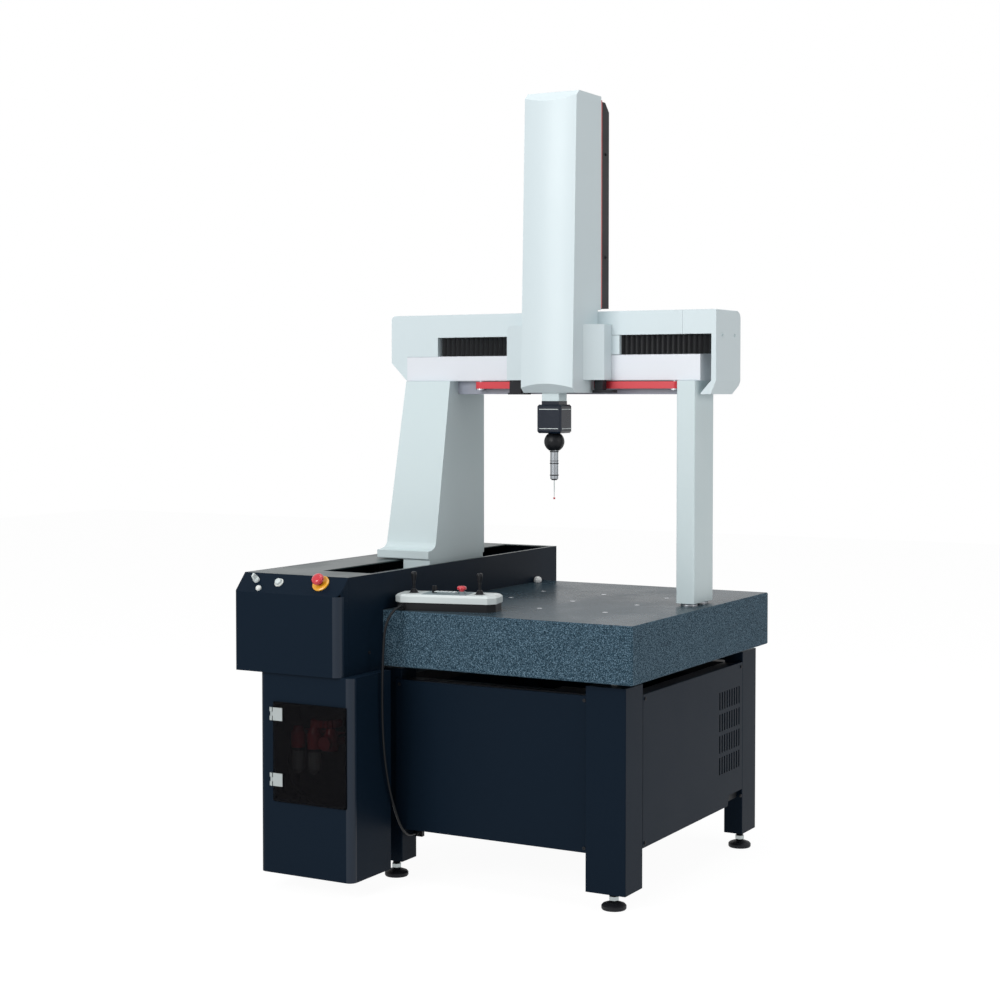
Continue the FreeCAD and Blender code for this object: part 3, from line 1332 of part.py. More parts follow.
def reference_sphere():
    """The calibration ball on its stem, laid down along the housing's wall."""
    x = HOUSING_RIGHT + 12
    low = GRANITE_Y[1] - 124
    z = D.table_top + 8
    parts = [
        ball(x, low, D.table_top + 9.5, 9.5), rod(x, low, z, 3, 60, "Y"), rod(x, low + 60, z, 8, 34, "Y"),
        rod(x, low + 94, z, 5, 26, "Y"),
    ]
    node(fuse(parts), "reference_sphere")


# ------------------------------------------------------------------ the whole machine
def build():
    granite_table()
    stand()
    stand_rails()
    front_panel()
    right_panel()
    rear_panels()
    controller_box()
    housing_covers()
    housing_frame()
    y_drive()
    cabinet_shell()
    window_door()
    hinges()
    air_unit()
    console()
    pendant()
    glands()
    cords()
    reference_sphere()
    left_leg()
    left_leg_base()
    right_leg()
    beam()
    beam_top_cover()
    right_end_cover()
    belt_drive()
    bellows("left_bellows", (-D.window_left, SADDLE_X[0] - D.air_gap))
    bellows("right_bellows", (SADDLE_X[1] + D.air_gap, RIGHT - D.end_flange))
    carriage_cover()
    z_front_cover()
    z_rear()
    belt_clamps()
    ram()
    probe_head()
    probe_ball()
    probe()


def write_parts():
    """Check every object, then write one file for each sub-part."""
    doc.recompute()
    for obj in doc.Objects:
        if "Invalid" in obj.State or "Error" in obj.State:
            raise RuntimeError(f"{obj.Name} ({obj.Label}) failed: {obj.State}")
    for obj in NODES:
        if obj.Shape.isNull() or not obj.Shape.isValid():
            raise RuntimeError(f"{obj.Label} has no valid shape")
    os.makedirs("parts", exist_ok=True)
    for obj in NODES:
        obj.Shape.exportStep(f"parts/{obj.Label}.step")


build()
write_parts()
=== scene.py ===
"""Looks of a moving-bridge coordinate measuring machine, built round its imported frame.

Every length is in metres. X points to the machine's right, Y to its rear and Z up.
"""

from __future__ import annotations

import json
import logging
import math
from dataclasses import dataclass, field
from enum import Enum
from typing import Any, Sequence

import bmesh
import bpy
from mathutils import Matrix, Vector

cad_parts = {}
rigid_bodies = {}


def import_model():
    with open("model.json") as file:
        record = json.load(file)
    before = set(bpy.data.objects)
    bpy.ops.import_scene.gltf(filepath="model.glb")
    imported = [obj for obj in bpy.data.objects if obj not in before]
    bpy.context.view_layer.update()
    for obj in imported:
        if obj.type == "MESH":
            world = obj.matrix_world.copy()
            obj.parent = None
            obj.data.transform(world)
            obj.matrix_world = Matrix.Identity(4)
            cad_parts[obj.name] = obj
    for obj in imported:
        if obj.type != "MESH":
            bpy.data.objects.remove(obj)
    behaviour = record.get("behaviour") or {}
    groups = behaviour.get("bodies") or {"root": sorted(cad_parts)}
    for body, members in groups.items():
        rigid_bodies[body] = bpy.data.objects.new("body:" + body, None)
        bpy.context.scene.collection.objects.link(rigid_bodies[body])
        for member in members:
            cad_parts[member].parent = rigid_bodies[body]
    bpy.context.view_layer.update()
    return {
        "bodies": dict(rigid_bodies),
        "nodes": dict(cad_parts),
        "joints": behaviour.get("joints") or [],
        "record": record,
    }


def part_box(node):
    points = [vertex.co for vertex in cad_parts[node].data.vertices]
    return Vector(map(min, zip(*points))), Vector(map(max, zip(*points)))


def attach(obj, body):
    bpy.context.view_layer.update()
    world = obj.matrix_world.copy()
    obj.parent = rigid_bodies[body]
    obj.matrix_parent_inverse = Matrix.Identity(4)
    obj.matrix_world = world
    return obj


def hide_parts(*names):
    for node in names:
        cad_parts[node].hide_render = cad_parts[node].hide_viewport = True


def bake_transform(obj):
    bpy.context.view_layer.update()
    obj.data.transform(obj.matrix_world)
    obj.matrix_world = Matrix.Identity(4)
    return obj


log = logging.getLogger("measuring_machine")
Point = tuple[float, float, float]
Colour = tuple[float, float, float]

# Colours that several finishes mix in, linear.
HANDLED: Colour = (0.35, 0.37, 0.38)
DUST: Colour = (0.5, 0.5, 0.48)
MICA: Colour = (0.006, 0.009, 0.013)
LAPPED: Colour = (0.02, 0.033, 0.04)


# ---------------------------------------------------------------- node trees
class Graph:
    """A short way to write one node tree."""

    def __init__(self, tree: bpy.types.NodeTree) -> None:
        """Keep the tree that nodes are added to."""
        self.tree = tree

    def add(self, kind: str, inputs: dict[Any, Any] | None = None, **settings: Any) -> bpy.types.Node:
        """Add one node.

        Args:
            kind: The node's type name without the common prefix when it is a shader node.
            inputs: Socket name or index to a plain value or to an output socket to link from.
            settings: Attributes set on the node before its sockets are filled.

        Returns:
            The new node.
        """
        whole = kind.startswith(("Node", "Geometry", "Function"))
        node = self.tree.nodes.new(kind if whole else "ShaderNode" + kind)
        for name, value in settings.items():
            setattr(node, name, value)
        for key, value in (inputs or {}).items():
            self.put(node.inputs[key], value)
        return node

    def put(self, socket: bpy.types.NodeSocket, value: Any) -> None:
        """Fill a socket with a plain value, or link an output socket into it."""
        if isinstance(value, bpy.types.NodeSocket):
            self.tree.links.new(value, socket)
        else:
            socket.default_value = value

    def math(self, operation: str, *values: Any) -> bpy.types.NodeSocket:
        """Return the output of a Math node over one, two or three values."""
        node = self.add("Math", dict(enumerate(values)), operation=operation)
        return node.outputs[0]

    def ramp(self, value: Any, low: float, high: float, start: float = 0.0, end: float = 1.0) -> Any:
        """Return value mapped smoothly from low..high to start..end."""
        node = self.add(
            "MapRange",
            {"Value": value, "From Min": low, "From Max": high, "To Min": start, "To Max": end},
            interpolation_type="SMOOTHSTEP",
        )
        return node.outputs["Result"]

    def mix(self, share: Any, first: Any, second: Any, blend: str = "MIX") -> bpy.types.NodeSocket:
        """Return a colour mixed from first to second by share."""
        node = self.add("Mix", data_type="RGBA", blend_type=blend)
        self.put(node.inputs[0], share)
        self.put(node.inputs[6], opaque(first))
        self.put(node.inputs[7], opaque(second))
        return node.outputs[2]


def opaque(value: Any) -> Any:
    """Return a colour with its fourth number, and anything else unchanged."""
    return (*value, 1.0) if isinstance(value, tuple) and len(value) == 3 else value


class Effects:
    """The shader node groups that several finishes share, each built once."""

    def __init__(self) -> None:
        """Build every group."""
        self.texture = self._texture()
        self.smudges = self._smudges()
        self.stone = self._stone()
        self.turned = self._turned()

    @staticmethod
    def _start(name: str, inputs: dict[str, float], outputs: dict[str, str]) -> tuple[Graph, Any, Any]:
        """Open a group tree with named float inputs and typed outputs."""
        tree = bpy.data.node_groups.new(name, "ShaderNodeTree")
        for label, value in inputs.items():
            socket = tree.interface.new_socket(label, in_out="INPUT", socket_type="NodeSocketFloat")
            socket.default_value = value
        for label, kind in outputs.items():
            tree.interface.new_socket(label, in_out="OUTPUT", socket_type=kind)
        graph = Graph(tree)
        return graph, graph.add("NodeGroupInput"), graph.add("NodeGroupOutput")

    def _texture(self) -> bpy.types.NodeTree:
        """Fine pebbled relief, as powder coat and moulded plastic have."""
        graph, into, out = self._start("FineTexture", {"Scale": 900.0}, {"Height": "NodeSocketFloat"})
        place = graph.add("TexCoord").outputs["Object"]
        inputs = {"Vector": place, "Scale": into.outputs["Scale"]}
        cells = graph.add("TexVoronoi", inputs, feature="SMOOTH_F1")
        fine = graph.add("TexNoise", {"Vector": place, "Scale": into.outputs["Scale"], "Detail": 3.0})
        height = graph.math("MULTIPLY", cells.outputs["Distance"], fine.outputs[0])
        graph.put(out.inputs["Height"], height)
        return graph.tree

    def _smudges(self) -> bpy.types.NodeTree:
        """Broad soft patches that vary gloss and tone, as handling and dust leave."""
        outputs = {"Mask": "NodeSocketFloat", "Dust": "NodeSocketFloat"}
        graph, into, out = self._start("Smudges", {"Scale": 5.0}, outputs)
        place = graph.add("TexCoord").outputs["Object"]
        inputs = {"Vector": place, "Scale": into.outputs["Scale"], "Detail": 6.0, "Roughness": 0.6}
        broad = graph.add("TexNoise", inputs)
        graph.put(out.inputs["Mask"], graph.ramp(broad.outputs[0], 0.35, 0.65))
        up = graph.add("SeparateXYZ", {0: graph.add("NewGeometry").outputs["Normal"]}).outputs["Z"]
        fine = graph.add("TexNoise", {"Vector": place, "Scale": 260.0, "Detail": 4.0})
        settled = graph.math("MULTIPLY", graph.ramp(up, 0.6, 1.0), graph.ramp(fine.outputs[0], 0.45, 0.75))
        graph.put(out.inputs["Dust"], settled)
        return graph.tree

    def _stone(self) -> bpy.types.NodeTree:
        """Crystals of granite: pale feldspar, mid grains and black mica."""
        outputs = {"Pale": "NodeSocketFloat", "Dark": "NodeSocketFloat", "Up": "NodeSocketFloat"}
        graph, into, out = self._start("GraniteGrain", {"Scale": 420.0}, outputs)
        place = graph.add("TexCoord").outputs["Object"]
        warp = graph.add("TexNoise", {"Vector": place, "Scale": 900.0, "Detail": 2.0})
        reach = (0.0012, 0.0012, 0.0012)
        shift = graph.add("VectorMath", {0: warp.outputs["Color"], 1: reach}, operation="MULTIPLY")
        moved = graph.add("VectorMath", {0: place, 1: shift.outputs[0]}, operation="ADD")
        cells = graph.add("TexVoronoi", {"Vector": moved.outputs[0], "Scale": into.outputs["Scale"]})
        tone = graph.add("SeparateColor", {0: cells.outputs["Color"]}).outputs[0]
        patch = graph.add("TexNoise", {"Vector": place, "Scale": 320.0, "Detail": 4.0, "Roughness": 0.7})
        pale = graph.math("MULTIPLY", graph.ramp(tone, 0.52, 0.95), graph.ramp(patch.outputs[0], 0.3, 0.6))
        graph.put(out.inputs["Pale"], pale)
        graph.put(out.inputs["Dark"], graph.ramp(tone, 0.28, 0.1))
        up = graph.add("SeparateXYZ", {0: graph.add("NewGeometry").outputs["Normal"]}).outputs["Z"]
        graph.put(out.inputs["Up"], graph.ramp(up, 0.8, 0.98))
        return graph.tree

    def _turned(self) -> bpy.types.NodeTree:
        """Fine lines along one direction, as brushing, grinding and turning leave."""
        inputs = {"Along X": 1.0, "Along Y": 1.0, "Along Z": 40.0}
        graph, into, out = self._start("ToolLines", inputs, {"Height": "NodeSocketFloat"})
        place = graph.add("TexCoord").outputs["Object"]
        stretch = graph.add("CombineXYZ", {n: into.outputs[n] for n in range(3)})
        lines = graph.add("VectorMath", {0: place, 1: stretch.outputs[0]}, operation="MULTIPLY")
        noise = graph.add("TexNoise", {"Vector": lines.outputs[0], "Scale": 60.0, "Detail": 4.0})
        graph.put(out.inputs["Height"], noise.outputs[0])
        return graph.tree


class Surface(Enum):
    """What kind of relief a finish has."""

    PEBBLED = "pebbled"
    STONE = "stone"
    LINED = "lined"


@dataclass(frozen=True)
class Finish:
    """One surface finish.

    Attributes:
        name: The finish in a maker's words, which names its material.
        colour: Base colour, linear.
        roughness: Mean roughness.
        surface: The kind of relief.
        metallic: 1 for bare metal.
        coat: Weight of a clear coat.
        scale: Features of the relief per metre.
        relief: Depth of the relief, 0 to 1.
        wear: How far the gloss and tone vary over the surface.
        dust: How much pale dust lies on upward faces.
        lines: Stretch of the tool lines along X, Y and Z.
        tint: Second colour, shown where `zone` says.
        zone: Axis, level and side of the tint, such as ("X", 0.3, 1) for x above 0.3.
        transmission: Share of light let through, for glass.
        alpha: Cover, 1 where nothing shows through.
        gloss: Strength of the plain reflection.
    """

    name: str
    colour: Colour
    roughness: float
    surface: Surface = Surface.PEBBLED
    metallic: float = 0.0
    coat: float = 0.0
    scale: float = 900.0
    relief: float = 0.12
    wear: float = 0.1
    dust: float = 0.03
    lines: Point = (1.0, 1.0, 40.0)
    tint: Colour | None = None
    zone: tuple[str, float, int] = ("X", 0.0, 1)
    transmission: float = 0.0
    alpha: float = 1.0
    gloss: float = 0.5

    def material(self, effects: Effects) -> bpy.types.Material:
        """Return this finish's material, made on first use.

        Args:
            effects: The shared shader groups.

        Returns:
            The material.
        """
        made = bpy.data.materials.get(self.name)
        if made:
            return made
        made = bpy.data.materials.new(self.name)
        made.use_nodes = True
        made.node_tree.nodes.clear()
        graph = Graph(made.node_tree)
        shader = graph.add("BsdfPrincipled", {"Metallic": self.metallic, "Coat Weight": self.coat})
        shader.inputs["Coat Roughness"].default_value = 0.15
        shader.inputs["Transmission Weight"].default_value = self.transmission
        shader.inputs["Alpha"].default_value = self.alpha
        shader.inputs["Specular IOR Level"].default_value = self.gloss
        graph.add("OutputMaterial", {"Surface": shader.outputs[0]})
        writer = {Surface.PEBBLED: self._pebbled, Surface.LINED: self._lined, Surface.STONE: self._stone}
        writer[self.surface](graph, shader, effects)
        return made

    def _tone(self, graph: Graph, effects: Effects) -> tuple[Any, Any, Any]:
        """Return the worn base colour, the varied roughness and the smudge node."""
        smudge = graph.add("Group", node_tree=effects.smudges)
        base: Any = self.colour
        if self.tint:
            axis, level, side = self.zone
            place = graph.add("SeparateXYZ", {0: graph.add("TexCoord").outputs["Object"]})
            beyond = graph.math("GREATER_THAN" if side > 0 else "LESS_THAN", place.outputs[axis], level)
            base = graph.mix(beyond, self.colour, self.tint)
        rubbed = graph.math("MULTIPLY", smudge.outputs["Mask"], self.wear)
        worn = graph.mix(rubbed, base, HANDLED, "OVERLAY")
        covered = graph.math("MULTIPLY", smudge.outputs["Dust"], self.dust)
        dusty = graph.mix(covered, worn, DUST)
        spread = self.roughness * self.wear
        rough = graph.ramp(smudge.outputs["Mask"], 0.0, 1.0, self.roughness - spread, self.roughness + spread)
        return dusty, rough, smudge

    def _pebbled(self, graph: Graph, shader: bpy.types.Node, effects: Effects) -> None:
        """Paint, plastic and rubber: pebbled relief under varied gloss."""
        colour, rough, _ = self._tone(graph, effects)
        graph.put(shader.inputs["Base Color"], colour)
        graph.put(shader.inputs["Roughness"], rough)
        relief = graph.add("Group", {"Scale": self.scale}, node_tree=effects.texture)
        self._bump(graph, shader, relief.outputs["Height"])

    def _lined(self, graph: Graph, shader: bpy.types.Node, effects: Effects) -> None:
        """Metal with tool lines along one direction."""
        colour, rough, _ = self._tone(graph, effects)
        along = dict(zip(("Along X", "Along Y", "Along Z"), self.lines))
        relief = graph.add("Group", along, node_tree=effects.turned)
        graph.put(shader.inputs["Base Color"], colour)
        varied = graph.math("MULTIPLY_ADD", relief.outputs["Height"], 0.2, graph.math("SUBTRACT", rough, 0.1))
        graph.put(shader.inputs["Roughness"], varied)
        self._bump(graph, shader, relief.outputs["Height"])

    def _stone(self, graph: Graph, shader: bpy.types.Node, effects: Effects) -> None:
        """Granite: lapped and dark on top, ground and paler on the sides."""
        grain = graph.add("Group", {"Scale": self.scale}, node_tree=effects.stone)
        smudge = graph.add("Group", {"Scale": 3.0}, node_tree=effects.smudges)
        side = graph.mix(grain.outputs["Pale"], self.colour, self.tint or self.colour)
        side = graph.mix(graph.math("MULTIPLY", grain.outputs["Dark"], 0.75), side, MICA)
        lapped = graph.mix(0.62, side, LAPPED)
        both = graph.mix(grain.outputs["Up"], side, lapped)
        graph.put(shader.inputs["Base Color"], both)
        polished = graph.ramp(smudge.outputs["Mask"], 0.0, 1.0, self.roughness * 0.5, self.roughness * 0.62)
        rough = graph.add("Mix", {0: grain.outputs["Up"], 2: self.roughness, 3: polished}).outputs[0]
        graph.put(shader.inputs["Roughness"], rough)
        upright = graph.math("SUBTRACT", 1.0, grain.outputs["Up"])
        self._bump(graph, shader, graph.math("MULTIPLY", grain.outputs["Pale"], upright))

    def _bump(self, graph: Graph, shader: bpy.types.Node, height: Any) -> None:
        """Send a height through a Bump node into the shader's normal."""
        bump = graph.add("Bump", {"Strength": self.relief, "Distance": 0.0006, "Height": height})
        graph.put(shader.inputs["Normal"], bump.outputs[0])


# ---------------------------------------------------------------- finishes
GRANITE = Finish(
    "lapped_granite", (0.026, 0.055, 0.08), 0.5, Surface.STONE, scale=620.0, relief=0.3,
    tint=(0.17, 0.27, 0.35), gloss=0.03,
)
NAVY = Finish(
    "navy_powder_coat", (0.0045, 0.011, 0.021), 0.42, scale=1100.0, relief=0.15, wear=0.02, dust=0.0,
    gloss=0.05,
)
TOP_PAINT = Finish("grey_green_satin_paint", (0.03, 0.047, 0.05), 0.4, scale=1100.0, relief=0.15, gloss=0.25)
# The navy powder coat made lighter on the bent corners: a painted highlight where the folds catch the light.
BENT_EDGE_HIGHLIGHT = Finish(
    "navy_bent_edge_painted_highlight", (0.006, 0.014, 0.027), 0.3, scale=1100.0, relief=0.15, wear=0.02, dust=0.0, gloss=0.3,
)
DARK_PAINT = Finish(
    "matt_black_paint", (0.008, 0.009, 0.012), 0.55, relief=0.2, wear=0.05, dust=0.0, gloss=0.25,
)
CASTING = Finish(
    "silver_grey_textured_paint", (0.60, 0.70, 0.72), 0.45, scale=700.0, relief=0.35, wear=0.04, dust=0.0,
)
COVER = Finish(
    "silver_grey_cover_paint", (0.62, 0.71, 0.74), 0.42, scale=900.0, relief=0.15, wear=0.03, dust=0.0,
)
# Below z 1.3765 the channel under the guide beam is tinted grey-blue: painted shade, for the shadow that
# falls under the beam.
CERAMIC = Finish(
    "ground_white_ceramic", (0.74, 0.77, 0.82), 0.2, coat=0.2, relief=0.03, wear=0.02, dust=0.0,
    tint=(0.3, 0.32, 0.38), zone=("Z", 1.3765, -1),
)
BELLOWS = Finish("black_coated_cloth", (0.016, 0.017, 0.019), 0.5, scale=2500.0, relief=0.2, dust=0.0)
RED_BELT = Finish("red_belt", (0.62, 0.035, 0.05), 0.4, relief=0.1)
STEEL = Finish("ground_steel", (0.55, 0.57, 0.6), 0.3, Surface.LINED, metallic=1.0, relief=0.05)
ZINC = Finish(
    "bright_zinc", (0.42, 0.46, 0.46), 0.36, Surface.LINED, metallic=1.0, relief=0.08, lines=(1.0, 1.0, 4.0),
)
BLACK = Finish(
    "black_moulded_plastic", (0.008, 0.009, 0.011), 0.36, relief=0.2, wear=0.05, dust=0.0, gloss=0.18,
)
RED = Finish("red_gloss_plastic", (0.55, 0.015, 0.03), 0.22, relief=0.03, coat=0.3)
RED_TRIM = Finish("red_edge_paint", (0.5, 0.05, 0.045), 0.4)
PALE = Finish("pale_grey_plastic", (0.62, 0.68, 0.68), 0.35, relief=0.1, wear=0.04)
GREY_SHEET = Finish("grey_keypad_sheet", (0.2, 0.26, 0.28), 0.4, relief=0.15)
FITTINGS = Finish(
    "console_plastic", (0.65, 0.68, 0.66), 0.3, relief=0.05, tint=(0.75, 0.36, 0.02), zone=("X", -0.34, 1),
)
BOWL = Finish("clear_bowl_plastic", (0.5, 0.52, 0.5), 0.12, alpha=0.45, relief=0.02)
TINTED = Finish(
    "smoked_window_sheet", (0.002, 0.002, 0.003), 0.12, alpha=0.6, relief=0.0, dust=0.0, wear=0.0, gloss=0.08,
)
HEAD = Finish("dark_blue_anodised", (0.006, 0.011, 0.022), 0.25, relief=0.1, dust=0.0, gloss=0.3)
SATIN = Finish("satin_chrome", (0.3, 0.32, 0.34), 0.36, Surface.LINED, metallic=1.0, relief=0.08)
CABLE = Finish("black_cable_jacket", (0.006, 0.007, 0.009), 0.42, relief=0.15, dust=0.0, gloss=0.2)
WHITE_BALL = Finish("white_ceramic_ball", (0.78, 0.79, 0.78), 0.2, coat=0.3, relief=0.02)

DRESSING: dict[Finish, tuple[str, ...]] = {
    GRANITE: ("granite_table",),
    NAVY: (
        "stand_legs", "front_panel", "right_panel", "rear_panels", "housing_front_cover",
        "housing_rear_cover", "housing_left_cover", "housing_right_cover", "cabinet_shell",
    ),
    TOP_PAINT: ("housing_top_cover",),
    DARK_PAINT: (
        "levelling_feet", "stand_rails", "controller_box", "housing_frame", "belt_clamps", "z_rear_cover",
    ),
    CASTING: ("left_leg", "left_leg_base", "right_leg", "z_ram"),
    COVER: ("beam_top_cover", "right_end_cover", "carriage_cover", "z_front_cover"),
    CERAMIC: ("beam",),
    BELLOWS: ("left_bellows", "right_bellows"),
    RED_BELT: ("x_drive_belt",),
    STEEL: ("y_drive", "right_bearing_pads", "belt_pulleys"),
    ZINC: ("granite_jacks", "hinge_pins", "door_leaves", "stylus"),
    BLACK: ("pendant_base", "pendant_knob", "left_joystick", "right_joystick", "cable_glands", "probe_ball"),
    RED: ("air_filters", "estop_button", "pendant_estop"),
    RED_TRIM: ("z_trim_plate",),
    PALE: ("start_button", "mode_knob", "pendant_cover"),
    GREY_SHEET: ("pendant_keypad",),
    FITTINGS: ("console_fittings",),
    BOWL: ("filter_bowls",),
    TINTED: ("window_door",),
    HEAD: ("probe_head",),
    SATIN: ("probe_module",),
    CABLE: ("pendant_cable", "air_hose", "left_joystick_boot", "right_joystick_boot"),
    WHITE_BALL: ("reference_sphere",),
}


# ---------------------------------------------------------------- room
@dataclass
class Studio:
    """The pale floor, the soft lamps and the camera."""

    eye: Point = (2.565, -4.708, 1.344)
    turn: Point = (87.95, 0.0, 29.268)
    lens: float = 67.95
    shift_up: float = -0.04
    lamps: tuple[tuple[str, Point, float, float], ...] = (
        ("key", (-1.0, -5.6, 3.2), 2.8, 195.0),
        ("side", (5.2, -0.6, 2.4), 2.6, 48.0),
        ("top", (0.4, -0.4, 5.0), 3.0, 70.0),
    )
    target: Point = (0.0, 0.0, 1.1)

    def build(self) -> None:
        """Make the floor, world, lamps and camera, and set the view transform."""
        scene = bpy.context.scene
        scene.view_settings.view_transform = "Standard"
        self._world(scene)
        self._floor()
        for name, place, size, power in self.lamps:
            self._lamp(name, Vector(place), size, power)
        data = bpy.data.cameras.new("camera")
        data.lens, data.shift_y = self.lens, self.shift_up
        camera = bpy.data.objects.new("camera", data)
        camera.location = self.eye
        camera.rotation_euler = [math.radians(angle) for angle in self.turn]
        scene.collection.objects.link(camera)
        scene.camera = camera

    def _lamp(self, name: str, place: Vector, size: float, power: float) -> None:
        """Add one soft square lamp that looks at the machine."""
        data = bpy.data.lights.new(name, "AREA")
        data.size, data.energy = size, power
        lamp = bpy.data.objects.new(name, data)
        lamp.location = place
        lamp.rotation_euler = (Vector(self.target) - place).to_track_quat("-Z", "Y").to_euler()
        bpy.context.scene.collection.objects.link(lamp)

    @staticmethod
    def _seen(graph: Graph) -> Any:
        """Return 1 for rays that show the surroundings: from the camera, off gloss or through glass."""
        path = graph.add("LightPath")
        direct = graph.math("MAXIMUM", path.outputs["Is Camera Ray"], path.outputs["Is Transmission Ray"])
        return graph.math("MAXIMUM", direct, path.outputs["Is Glossy Ray"])

    def _world(self, scene: bpy.types.Scene) -> None:
        """White where it is seen, and a soft even light elsewhere."""
        world = bpy.data.worlds.new("studio")
        world.use_nodes = True
        world.node_tree.nodes.clear()
        graph = Graph(world.node_tree)
        strength = graph.ramp(self._seen(graph), 0.0, 1.0, 0.32, 1.0)
        light = graph.add("Background", {"Color": (1.0, 1.0, 1.0, 1.0), "Strength": strength})
        graph.add("OutputWorld", {"Surface": light.outputs[0]})
        scene.world = world

    def _floor(self) -> None:
        """A pale floor that keeps the machine's shadow."""
        half = 12.0
        mesh = bpy.data.meshes.new("floor")
        corners = [(-half, -half, 0.0), (half, -half, 0.0), (half, half, 0.0), (-half, half, 0.0)]
        mesh.from_pydata(corners, [], [(0, 1, 2, 3)])
        floor = bpy.data.objects.new("floor", mesh)
        material = bpy.data.materials.new("pale_floor")
        material.use_nodes = True
        material.node_tree.nodes.clear()
        graph = Graph(material.node_tree)
        place = graph.add("TexCoord").outputs["Object"]
        grain = graph.add("TexNoise", {"Vector": place, "Scale": 3.0, "Detail": 4.0})
        tone = graph.mix(grain.outputs[0], (0.9, 0.9, 0.9), (0.93, 0.93, 0.93))
        matt = graph.add("BsdfDiffuse", {"Color": tone})
        glow = graph.add("Emission", {"Color": (1.0, 1.0, 1.0, 1.0), "Strength": 1.08})
        share = graph.math("MULTIPLY", self._seen(graph), 0.88)
        both = graph.add("MixShader", {0: share, 1: matt.outputs[0], 2: glow.outputs[0]})
        graph.add("OutputMaterial", {"Surface": both.outputs[0]})
        mesh.materials.append(material)
        bpy.context.scene.collection.objects.link(floor)


# ---------------------------------------------------------------- shapes
def join_rings(shape: bmesh.types.BMesh, low: list[Any], high: list[Any]) -> None:
    """Close the band between two rings, either of which may be a single point."""
    count = max(len(low), len(high))
    for index in range(count):
        after = (index + 1) % count
        if len(low) == 1:
            shape.faces.new((low[0], high[after], high[index]))
        elif len(high) == 1:
            shape.faces.new((low[index], low[after], high[0]))
        else:
            shape.faces.new((low[index], low[after], high[after], high[index]))


def skin(shape: bmesh.types.BMesh, rows: Sequence[list[Any]]) -> None:
    """Close a tube that runs through rows of corners, with a cap at each end."""
    for here, after in zip(rows, rows[1:]):
        join_rings(shape, here, after)
    shape.faces.new(rows[0])
    shape.faces.new(rows[-1])


def turned(
    profile: Sequence[tuple[float, float]], steps: int = 48, flutes: int = 0, depth: float = 0.0
) -> Any:
    """Return a form turned about Z.

    Args:
        profile: Radius and height pairs along the outline; radius 0 at both ends closes the form.
        steps: Sides round the axis.
        flutes: How many grip flutes run round it.
        depth: Depth of the flutes as a share of the radius.

    Returns:
        The new bmesh.
    """
    shape = bmesh.new()
    rings = []
    for radius, height in profile:
        if radius <= 0:
            rings.append([shape.verts.new((0.0, 0.0, height))])
            continue
        ring = []
        for step in range(steps):
            angle = math.tau * step / steps
            here = radius * (1.0 + depth * (math.cos(flutes * angle) - 1.0) / 2.0)
            ring.append(shape.verts.new((here * math.cos(angle), here * math.sin(angle), height)))
        rings.append(ring)
    for low, high in zip(rings, rings[1:]):
        join_rings(shape, low, high)
    return shape


def slab(low: Sequence[float], high: Sequence[float], edge: float, taper: float = 1.0) -> Any:
    """Return a block with rounded edges.

    Args:
        low: Lowest corner.
        high: Highest corner.
        edge: Width of the rounded edges.
        taper: Size of the top against the bottom.

    Returns:
        The new bmesh.
    """
    shape = bmesh.new()
    bmesh.ops.create_cube(shape, size=1.0)
    middle = [(a + b) / 2 for a, b in zip(low, high)]
    span = [b - a for a, b in zip(low, high)]
    for vertex in shape.verts:
        share = taper if vertex.co.z > 0 else 1.0
        x, y, z = vertex.co
        vertex.co = (
            middle[0] + x * span[0] * share, middle[1] + y * span[1] * share, middle[2] + z * span[2],
        )
    bmesh.ops.bevel(shape, geom=shape.edges[:], offset=edge, segments=3, profile=0.6, affect="EDGES")
    return shape


def standing(place: Sequence[float], facing: Sequence[float] = (0.0, 0.0, 1.0), spin: float = 0.0) -> Matrix:
    """Return the matrix that puts a form's base at a place with its Z along facing."""
    turn = Vector((0.0, 0.0, 1.0)).rotation_difference(Vector(facing)).to_matrix().to_4x4()
    return Matrix.Translation(Vector(place)) @ turn @ Matrix.Rotation(spin, 4, "Z")


def over(low: Vector, high: Vector, level: float) -> Matrix:
    """Return the matrix that puts a form's base over the middle of a box, at a level."""
    return standing(((low.x + high.x) / 2, (low.y + high.y) / 2, level))


def absorb(shape: Any, other: Any) -> None:
    """Add a second bmesh to the first and free it."""
    mesh = bpy.data.meshes.new("passing")
    other.to_mesh(mesh)
    other.free()
    shape.from_mesh(mesh)
    bpy.data.meshes.remove(mesh)


def mushroom(radius: float, height: float, bore: float = 0.0, bore_depth: float = 0.007) -> Any:
    """Return a mushroom push button with a grooved skirt.

    Args:
        radius: Radius of the head.
        height: Height from the foot of its stem.
        bore: Radius of the hole from below that its fixed stem runs in, or 0 for none.
        bore_depth: Depth of that hole.

    Returns:
        The new bmesh.
    """
    shares = ((0.55, 0.0), (0.55, 0.32), (0.9, 0.36), (0.97, 0.42), (0.93, 0.48), (1.0, 0.54),
              (1.0, 0.66), (0.93, 0.82), (0.74, 0.93), (0.42, 0.985), (0.0, 1.0))
    inside = [(0.0, bore_depth), (bore, bore_depth), (bore, 0.0)] if bore else [(0.0, 0.0)]
    return turned(inside + [(radius * r, height * h) for r, h in shares], 64)


def sphere(radius: float) -> Any:
    """Return a ball that rests on its own lowest point."""
    rings = 24
    angles = [math.pi * n / rings for n in range(rings + 1)]
    profile = [(radius * math.sin(angle), radius * (1 - math.cos(angle))) for angle in angles]
    profile[0], profile[-1] = (0.0, 0.0), (0.0, 2 * radius)
    return turned(profile, 40)


def threaded(radius: float, low: float, high: float, pitch: float) -> list[tuple[float, float]]:
    """Return the profile of a screwed rod between two heights."""
    turns = max(1, round((high - low) / pitch))
    step = (high - low) / turns
    crest = 0.12 * radius
    profile = []
    for turn in range(turns):
        profile += [(radius - crest, low + step * turn), (radius, low + step * (turn + 0.5))]
    return profile + [(radius - crest, high)]


